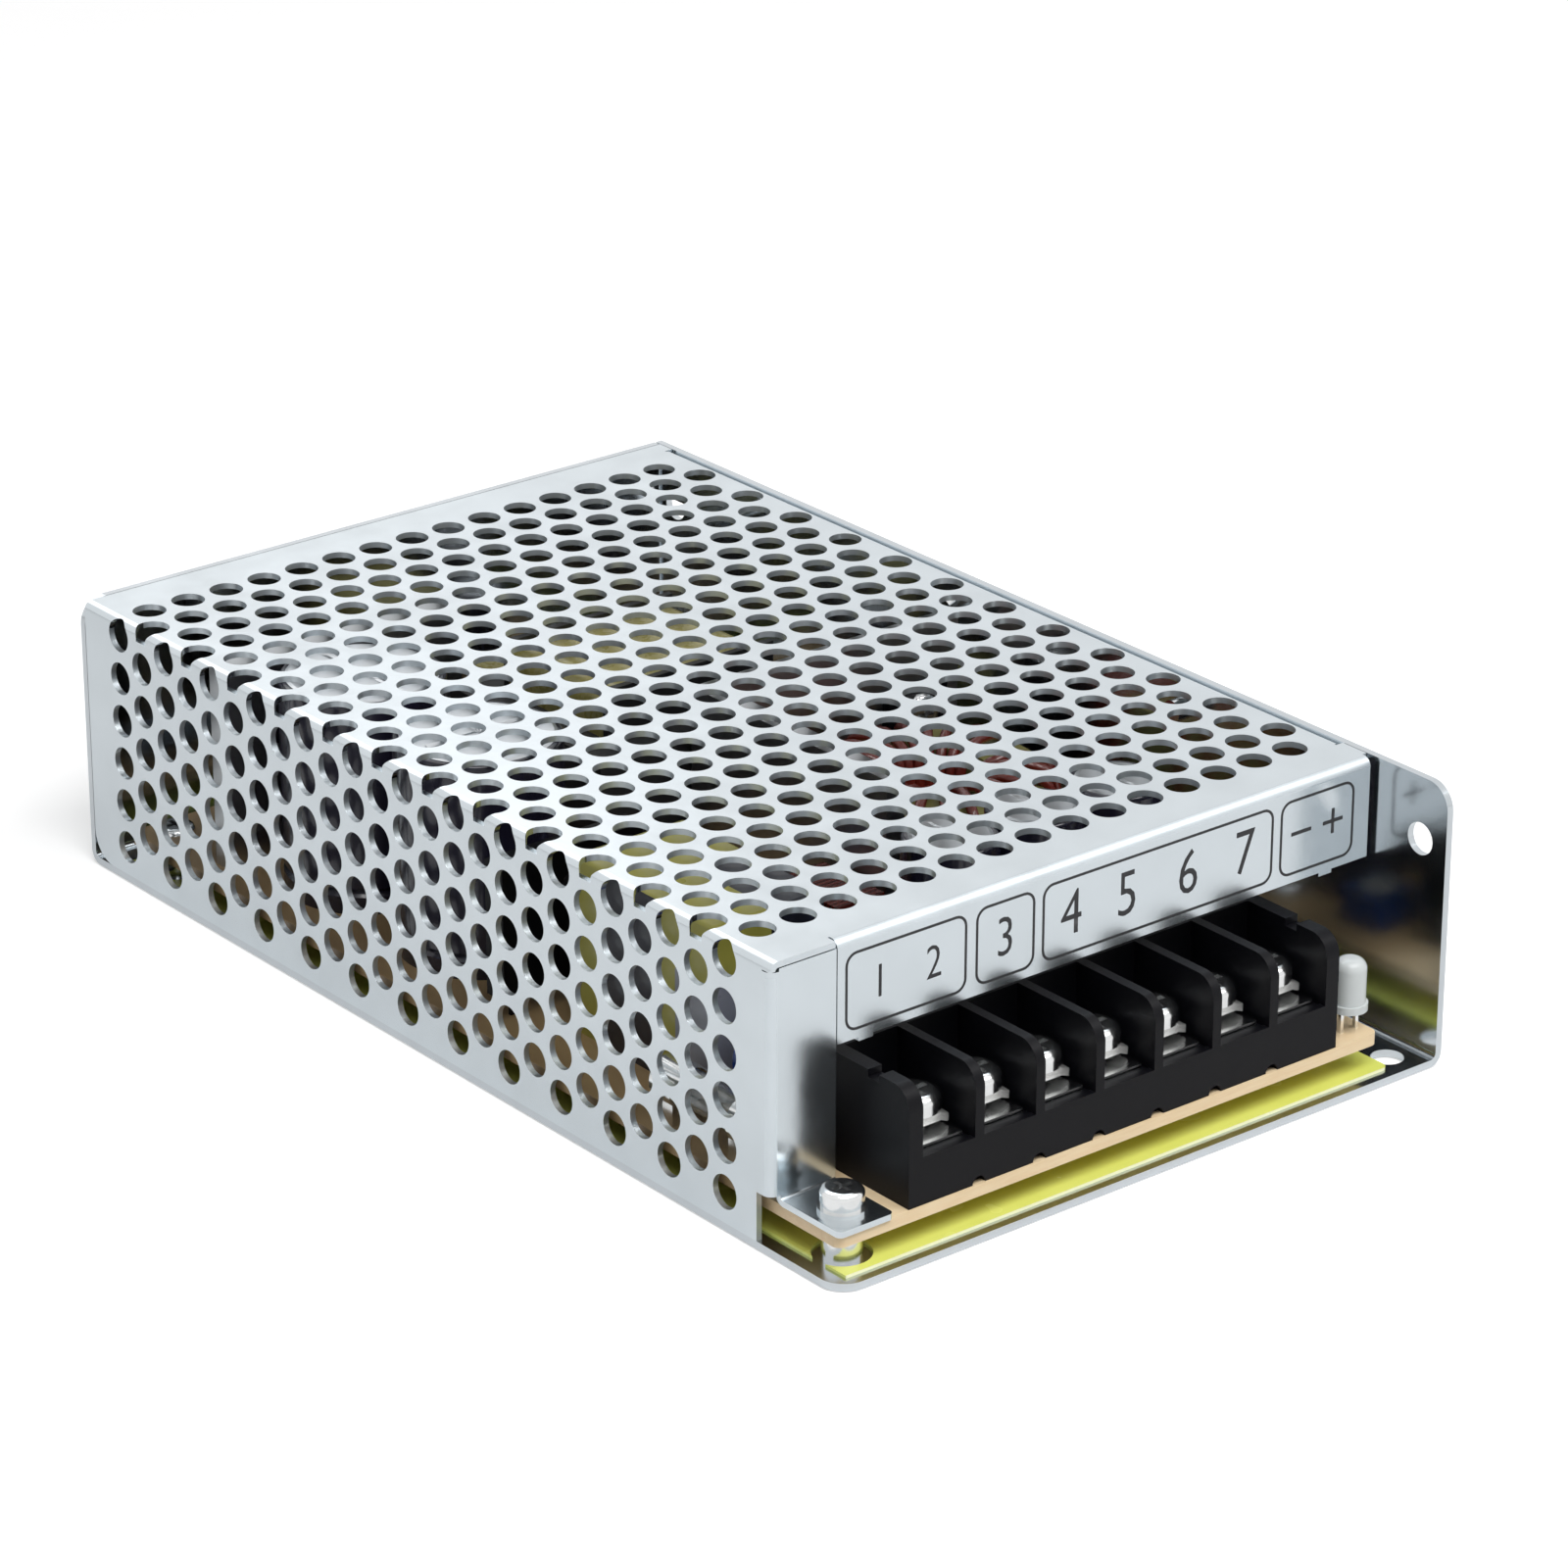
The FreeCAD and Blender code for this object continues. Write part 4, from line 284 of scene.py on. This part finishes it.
def laminate_finish():
    """Tan paper laminate with pale fibres, turned dark brown further in, behind the terminals, as painted
    shade inside the case.
    """
    finish = Finish("paper laminate")
    # Painted shade: the laminate darkens from just behind its front strip to deeper inside the case.
    unshaded_end, painted_shade_start = FRONT + 11.0, FRONT + 20.0
    inside = finish.node("ShaderNodeMapRange", Value=finish.along_axis("Y"),
                         From_Min=unshaded_end * MM, From_Max=painted_shade_start * MM)
    fibre = finish.noise(0.8, detail=4.0, stretch=(0.25, 1, 2))
    cloud = finish.noise(9.0)
    warm = finish.mix(cloud, (0.72, 0.50, 0.27), (0.86, 0.64, 0.38))
    laminate_colour = finish.mix(fibre, warm, (0.90, 0.74, 0.50))
    painted_shade_colour = finish.mix(cloud, (0.26, 0.16, 0.07), (0.42, 0.28, 0.13))
    finish.dress(Base_Color=finish.mix(inside * 0.85, laminate_colour, painted_shade_colour))
    finish.dress(Roughness=0.42 + (fibre - 0.5) * 0.2)
    finish.dress(Normal=finish.bump(fibre, depth=0.01, strength=0.4))
    return finish


def wound(name, colour, rough, axis, pitch, depth):
    """A layer of close turns, seen as fine ridges that follow one another along an axis."""
    finish = Finish(name, Coat_Weight=0.4)
    turns = finish.along_axis(axis) * (2 * math.pi / (pitch * MM))
    ridge = turns.maths("SINE", turns)
    drift = finish.noise(3.0)
    finish.dress(Base_Color=finish.mix(drift, shaded(colour, 0.6), colour))
    finish.dress(Roughness=rough + (drift - 0.5) * 0.1)
    finish.dress(Normal=finish.bump(ridge, depth, strength=0.8))
    return finish


FINISHES = {
    "zinc_steel": zinc_plate("zinc sheet", (0.70, 0.745, 0.77), 0.20),
    "nickel": bright_metal("nickel plate", (0.83, 0.84, 0.84), 0.17),
    "aluminium": bright_metal("rolled aluminium", (0.50, 0.51, 0.52), 0.32),
    "insulating_film": film_finish(),
    "laminate": laminate_finish(),
    "black_plastic": plain("black moulding", (0.003, 0.003, 0.0045), 0.40, grain_size=0.5, depth=0.004,
                           Specular_IOR_Level=0.14),
    "lens": plain("milky lens", (0.80, 0.84, 0.84), 0.22, grain_size=2.0, mottle=0.03,
                  Transmission_Weight=0.25, IOR=1.45),
    "blue_plastic": plain("blue moulding", (0.012, 0.045, 0.19), 0.4),
    "white_plastic": plain("white moulding", (0.70, 0.69, 0.64), 0.4),
    "fuse_glass": plain("fuse glass", (0.90, 0.93, 0.93), 0.05, grain_size=2.0, mottle=0.02,
                        Transmission_Weight=0.9, IOR=1.45),
    "dark_dip": plain("dark green dip", (0.02, 0.04, 0.03), 0.35, grain_size=1.5, depth=0.02),
    "blue_dip": plain("blue dip", (0.02, 0.07, 0.34), 0.28, grain_size=1.5, depth=0.02, Coat_Weight=0.4),
    # The yellow box's colour is darkened as painted shade for the inside of the case.
    "yellow_box": plain("yellow box", (0.46, 0.43, 0.08), 0.3, Coat_Weight=0.2),
    "grey_box": plain("lavender grey box", (0.24, 0.23, 0.31), 0.35),
    "ferrite": plain("ferrite", (0.025, 0.025, 0.027), 0.55, grain_size=0.6, depth=0.01),
    "copper_enamel": wound("dark red enamel", (0.16, 0.022, 0.014), 0.25, axis="Y", pitch=0.9, depth=0.12),
    "tape": plain("yellow tape", (0.48, 0.42, 0.14), 0.28, Coat_Weight=0.2),
    "bobbin": plain("black bobbin", (0.015, 0.015, 0.016), 0.45),
    "sleeve": plain("dark sleeve", (0.018, 0.016, 0.034), 0.22, Coat_Weight=0.3),
    "core_powder": plain("painted core", (0.30, 0.28, 0.09), 0.5, grain_size=0.5, depth=0.01),
    "olive": plain("olive dip", (0.14, 0.13, 0.04), 0.35, grain_size=1.5, depth=0.02),
    "resistor_grey": plain("grey lacquer", (0.18, 0.20, 0.23), 0.5),
}
INK = plain("legend ink", (0.020, 0.020, 0.023), 0.5)
CHASSIS = zinc_plate("zinc sheet of the chassis", (0.60, 0.64, 0.67), 0.17)
ENAMEL = plain("red enamelled wire", (0.20, 0.026, 0.016), 0.22, Coat_Weight=0.5)
CAN_TOP = bright_metal("can aluminium", (0.58, 0.60, 0.62), 0.34)
TIN = bright_metal("bright tin plate", (0.92, 0.92, 0.90), 0.24)
TIN.dress(Metallic=0.75)
OWN_FINISH = {"chassis": CHASSIS, "mesh_cover": cover_finish(), "x_capacitor": filter_finish()}
TERMINALS = range(1, 8)
OWN_FINISH.update({f"terminal_clamp_{number}": TIN for number in TERMINALS})

for part in frame["record"]["subparts"]:
    slots = nodes[part["node"]].data.materials
    slots.clear()
    slots.append(OWN_FINISH.get(part["node"], FINISHES[part["material_slot"]]).material)


# Pieces


def finished(thing, name, finish, body="case"):
    """Name a piece, put its place into its mesh, and let it ride on its body."""
    clear_selection()
    bpy.context.view_layer.objects.active = thing
    thing.select_set(True)
    if thing.type != "MESH":
        bpy.ops.object.convert(target="MESH")
        thing = bpy.context.object
    bpy.ops.object.transform_apply(location=True, rotation=True, scale=True)
    thing.name = name
    thing.data.materials.clear()
    thing.data.materials.append(finish.material)
    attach(thing, body)
    return thing


def from_faces(name, shape):
    """A new object from a bmesh."""
    mesh = bpy.data.meshes.new(name)
    bmesh.ops.recalc_face_normals(shape, faces=shape.faces)
    shape.to_mesh(mesh)
    shape.free()
    thing = bpy.data.objects.new(name, mesh)
    scene.collection.objects.link(thing)
    return thing


def solids(node):
    """The box of each separate solid of a node, in millimetres."""
    same_point = 0.01
    shape = bmesh.new()
    shape.from_mesh(nodes[node].data)
    bmesh.ops.remove_doubles(shape, verts=shape.verts, dist=same_point * MM)
    left, boxes = set(shape.verts), []
    while left:
        edge, piece = [left.pop()], []
        while edge:
            vert = edge.pop()
            piece.append(vert.co.copy() / MM)
            for link in vert.link_edges:
                other = link.other_vert(vert)
                if other in left:
                    left.remove(other)
                    edge.append(other)
        boxes.append([Vector(pick(co[i] for co in piece) for i in range(3)) for pick in (min, max)])
    shape.free()
    return sorted(boxes, key=lambda box: (round(box[0].x, 1), round(box[0].y, 1)))


# Bare can tops, scored with a cross so that they can vent

SLEEVE_ROLL = 0.9
SCORE = 0.28
SCORE_REACH = 0.8
FACE_LEVEL, SCORED_LEVEL = 0.16, 0.02
RING_STEP, LEAST_RINGS, SPOKES = 0.45, 6, 64


def can_top(name, x, y, z, radius):
    """A disc just over a can's end, lower at its rim and along the cross."""
    shape = bmesh.new()
    rings, spokes = max(LEAST_RINGS, int(radius / RING_STEP)), SPOKES
    grid = []
    for ring in range(1, rings + 1):
        r = radius * ring / rings
        row = []
        for spoke in range(spokes):
            angle = 2 * math.pi * spoke / spokes
            px, py = r * math.cos(angle), r * math.sin(angle)
            scored = min(abs(px), abs(py)) < SCORE and r < radius * SCORE_REACH
            level = SCORED_LEVEL if scored or ring == rings else FACE_LEVEL
            row.append(shape.verts.new(((x + px) * MM, (y + py) * MM, (z + level) * MM)))
        grid.append(row)
    centre = shape.verts.new((x * MM, y * MM, (z + SCORED_LEVEL) * MM))
    for spoke in range(spokes):
        after = (spoke + 1) % spokes
        shape.faces.new((centre, grid[0][spoke], grid[0][after]))
        for inner, outer in zip(grid, grid[1:]):
            shape.faces.new((inner[spoke], outer[spoke], outer[after], inner[after]))
    return finished(from_faces(name, shape), name, CAN_TOP)


for node in ("bulk_capacitors", "output_capacitors", "small_capacitors"):
    for number, (low, high) in enumerate(solids(node), start=1):
        middle = (low + high) / 2
        can_top(f"{node}_top_{number}", middle.x, middle.y, high.z, (high.x - low.x) / 2 - SLEEVE_ROLL)


# The output choke's turns, each wound round its ring core

CORE_LOW, CORE_HIGH = extent("output_choke_core")
CORE_MIDDLE = (CORE_LOW + CORE_HIGH) / 2
RING_WALL = 7.0
WIRE = 1.5
TURNS = 24
WOUND_SHARE = 0.93
FIRST_TURN = math.radians(12)
TURN_CORNER = 1.4
INNER_LEAN = 0.3


def choke_turns():
    """Closed loops of wire round the ring's wall. Their inner sides lean towards the next turn."""
    outside = (CORE_HIGH.x - CORE_LOW.x) / 2 + WIRE / 2
    inside = outside - WIRE - RING_WALL - WIRE / 2
    low, high = CORE_LOW.z - WIRE / 2, CORE_HIGH.z + WIRE / 2
    path = bpy.data.curves.new("turns", "CURVE")
    path.dimensions = "3D"
    path.bevel_depth = WIRE / 2 * MM
    path.bevel_resolution = 2
    path.resolution_u = 3
    corners = ((outside, low), (outside, high), (inside, high), (inside, low))
    step = 2 * math.pi * WOUND_SHARE / TURNS
    for turn in range(TURNS):
        angle = FIRST_TURN + step * turn
        spline = path.splines.new("BEZIER")
        spline.bezier_points.add(2 * len(corners) - 1)
        for i, (r, z) in enumerate(corners):
            bearing = angle + (step / 2 * INNER_LEAN if r == inside else 0)
            beside = corners[i - 1], corners[(i + 1) % len(corners)]
            for j, (next_r, next_z) in enumerate(beside):
                reach = math.hypot(next_r - r, next_z - z)
                point_r = r + (next_r - r) * TURN_CORNER / reach
                point_z = z + (next_z - z) * TURN_CORNER / reach
                x = CORE_MIDDLE.x + point_r * math.cos(bearing)
                y = CORE_MIDDLE.y + point_r * math.sin(bearing)
                point = spline.bezier_points[2 * i + j]
                point.co = (x * MM, y * MM, point_z * MM)
                point.handle_left_type = point.handle_right_type = "AUTO"
        spline.use_cyclic_u = True
    thing = bpy.data.objects.new("choke_turns", path)
    scene.collection.objects.link(thing)
    return finished(thing, "choke_turns", ENAMEL)


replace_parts(choke_turns(), "output_choke_winding")


# Legend on the lip

LIP_Y = FRONT + 12.9
INK_LIFT = 0.03
INK_Y = (LIP_Y - INK_LIFT) * MM
UPRIGHT = (math.radians(90), 0, 0)
FRAME_CORNER, FRAME_LINE = 1.7, 0.34
CAP_HEIGHT = 0.7
THINNING = 0.06


def legend_frame(name, x1, x2, z1, z2):
    """A rounded rectangle drawn as a thin line on the lip."""
    clear_selection()
    middle = ((x1 + x2) / 2 * MM, INK_Y, (z1 + z2) / 2 * MM)
    bpy.ops.mesh.primitive_plane_add(size=1, location=middle, rotation=UPRIGHT)
    plate = bpy.context.object
    plate.scale = ((x2 - x1) * MM, (z2 - z1) * MM, 1)
    bpy.ops.object.transform_apply(location=False, rotation=False, scale=True)
    bpy.ops.object.mode_set(mode="EDIT")
    bpy.ops.mesh.select_all(action="SELECT")
    bpy.ops.mesh.bevel(offset=FRAME_CORNER * MM, segments=6, affect="VERTICES")
    bpy.ops.mesh.select_all(action="SELECT")
    bpy.ops.mesh.inset(thickness=FRAME_LINE * MM)
    bpy.ops.mesh.delete(type="FACE")
    bpy.ops.object.mode_set(mode="OBJECT")
    return finished(plate, name, INK)


def legend_mark(name, text, x, z, height, narrow=1.0):
    """A plain number or sign on the lip."""
    clear_selection()
    bpy.ops.object.text_add(location=(x * MM, INK_Y, z * MM), rotation=UPRIGHT)
    mark = bpy.context.object
    mark.data.body = text
    mark.data.size = height * MM / CAP_HEIGHT
    mark.data.offset = -THINNING * MM
    mark.data.align_x = "CENTER"
    mark.data.align_y = "CENTER"
    mark.data.resolution_u = 3
    mark.scale = (narrow, 1, 1)
    return finished(mark, name, INK)


# Places across the case, from its left face: a frame's two sides, and a mark's middle with its height
BOX_LOW, BOX_HIGH = 25.7, 35.9
LEGEND_BOXES = {"legend_frame_a": (11.3, 30.0), "legend_frame_b": (31.4, 40.7),
                "legend_frame_c": (41.9, 79.8), "legend_frame_d": (81.0, 93.6)}
for name, (x1, x2) in LEGEND_BOXES.items():
    legend_frame(name, LEFT + x1, LEFT + x2, BOX_LOW, BOX_HIGH)
middle_z = (BOX_LOW + BOX_HIGH) / 2
NUMBERS = ((16.6, 4.4), (24.9, 4.4), (36.05, 5.2), (46.6, 6.0), (55.6, 6.0), (65.6, 6.0), (75.0, 6.0))
NUMBER_WIDTH = 0.85
for number, (x, height) in zip(TERMINALS, NUMBERS):
    legend_mark(f"legend_number_{number}", str(number), LEFT + x, middle_z, height, NUMBER_WIDTH)
SIGNS = {"legend_less": ("−", 84.6, 5.2), "legend_more": ("+", 90.0, 5.2)}
for name, (sign, x, height) in SIGNS.items():
    legend_mark(name, sign, LEFT + x, middle_z, height)


# Camera, floor and lights

camera_data = bpy.data.cameras.new("camera")
camera = bpy.data.objects.new("camera", camera_data)
scene.collection.objects.link(camera)
scene.camera = camera
CAMERA_PLACE = Vector((-430.8, -539.5, 324.3))
CAMERA_LOOK = Vector((0.57825, 0.71243, -0.39760))
CAMERA_ROLL = Quaternion((0, 0, 1), math.radians(0.1))
CAMERA_LENS = 133.98
camera.location = CAMERA_PLACE * MM
camera.rotation_euler = (CAMERA_LOOK.to_track_quat("-Z", "Y") @ CAMERA_ROLL).to_euler()
camera_data.sensor_fit = "HORIZONTAL"
camera_data.sensor_width = 36.0
camera_data.lens = CAMERA_LENS
camera_data.clip_start = 0.01
camera_data.clip_end = 50.0

# The floor is white where the camera, mirrored light or glass sees it, and keeps the case's shadow
FLOOR_SIZE, FLOOR_DROP = 8.0, 0.0002
SEEN_GLOW, MIRRORED_GLOW = 0.43, 0.18
clear_selection()
bpy.ops.mesh.primitive_plane_add(size=FLOOR_SIZE, location=(0, 0, -FLOOR_DROP))
floor = bpy.context.object
floor.name = "floor"
floor_finish = Finish("floor", Roughness=0.9)
floor_cloud = floor_finish.noise(40.0)
floor_finish.dress(Base_Color=floor_finish.mix(floor_cloud, (0.80, 0.80, 0.80), (0.82, 0.82, 0.82)))
light_path = floor_finish.tree.nodes.new("ShaderNodeLightPath")
by_camera, by_glossy, by_glass = (Value(floor_finish, light_path.outputs[f"Is {kind} Ray"])
                                  for kind in ("Camera", "Glossy", "Transmission"))
glow = by_camera * SEEN_GLOW + by_glossy * MIRRORED_GLOW + by_glass * SEEN_GLOW
floor_finish.dress(Emission_Color=(1, 1, 1), Emission_Strength=glow)
floor.data.materials.append(floor_finish.material)


def softbox(name, place, aim, size, power):
    """A rectangular area light at a place, aimed at a point, with its sides in metres."""
    data = bpy.data.lights.new(name, "AREA")
    data.shape = "RECTANGLE"
    data.size, data.size_y = size
    data.energy = power
    lamp = bpy.data.objects.new(name, data)
    scene.collection.objects.link(lamp)
    lamp.location = place
    lamp.rotation_euler = (Vector(aim) - Vector(place)).to_track_quat("-Z", "Y").to_euler()


softbox("key", place=(-0.3, -0.7, 1.2), aim=(0, 0, 0), size=(0.8, 0.8), power=12.5)
softbox("fill", place=(0.5, -0.7, 1.1), aim=(0.25, -0.35, 0), size=(0.7, 0.7), power=7.0)
softbox("back", place=(0.3, 1.2, 1.0), aim=(0, 0, 0), size=(1.2, 0.7), power=2.5)

# The backdrop is white to the camera, in mirrored light and through glass, and otherwise a weak fill
WORLD_FILL, WORLD_WHITE = 0.12, 1.0
world = bpy.data.worlds.new("studio")
scene.world = world
world.use_nodes = True
tree = world.node_tree
tree.nodes.clear()
light_path = tree.nodes.new("ShaderNodeLightPath")
seen = light_path.outputs["Is Camera Ray"]
for kind in ("Is Glossy Ray", "Is Transmission Ray"):
    either = tree.nodes.new("ShaderNodeMath")
    either.operation = "MAXIMUM"
    tree.links.new(seen, either.inputs[0])
    tree.links.new(light_path.outputs[kind], either.inputs[1])
    seen = either.outputs[0]
strength = tree.nodes.new("ShaderNodeMapRange")
strength.inputs["To Min"].default_value = WORLD_FILL
strength.inputs["To Max"].default_value = WORLD_WHITE
tree.links.new(seen, strength.inputs["Value"])
backdrop = tree.nodes.new("ShaderNodeBackground")
backdrop.inputs["Color"].default_value = (1, 1, 1, 1)
tree.links.new(strength.outputs[0], backdrop.inputs["Strength"])
sky = tree.nodes.new("ShaderNodeOutputWorld")
tree.links.new(backdrop.outputs[0], sky.inputs["Surface"])

scene.view_settings.view_transform = "Standard"
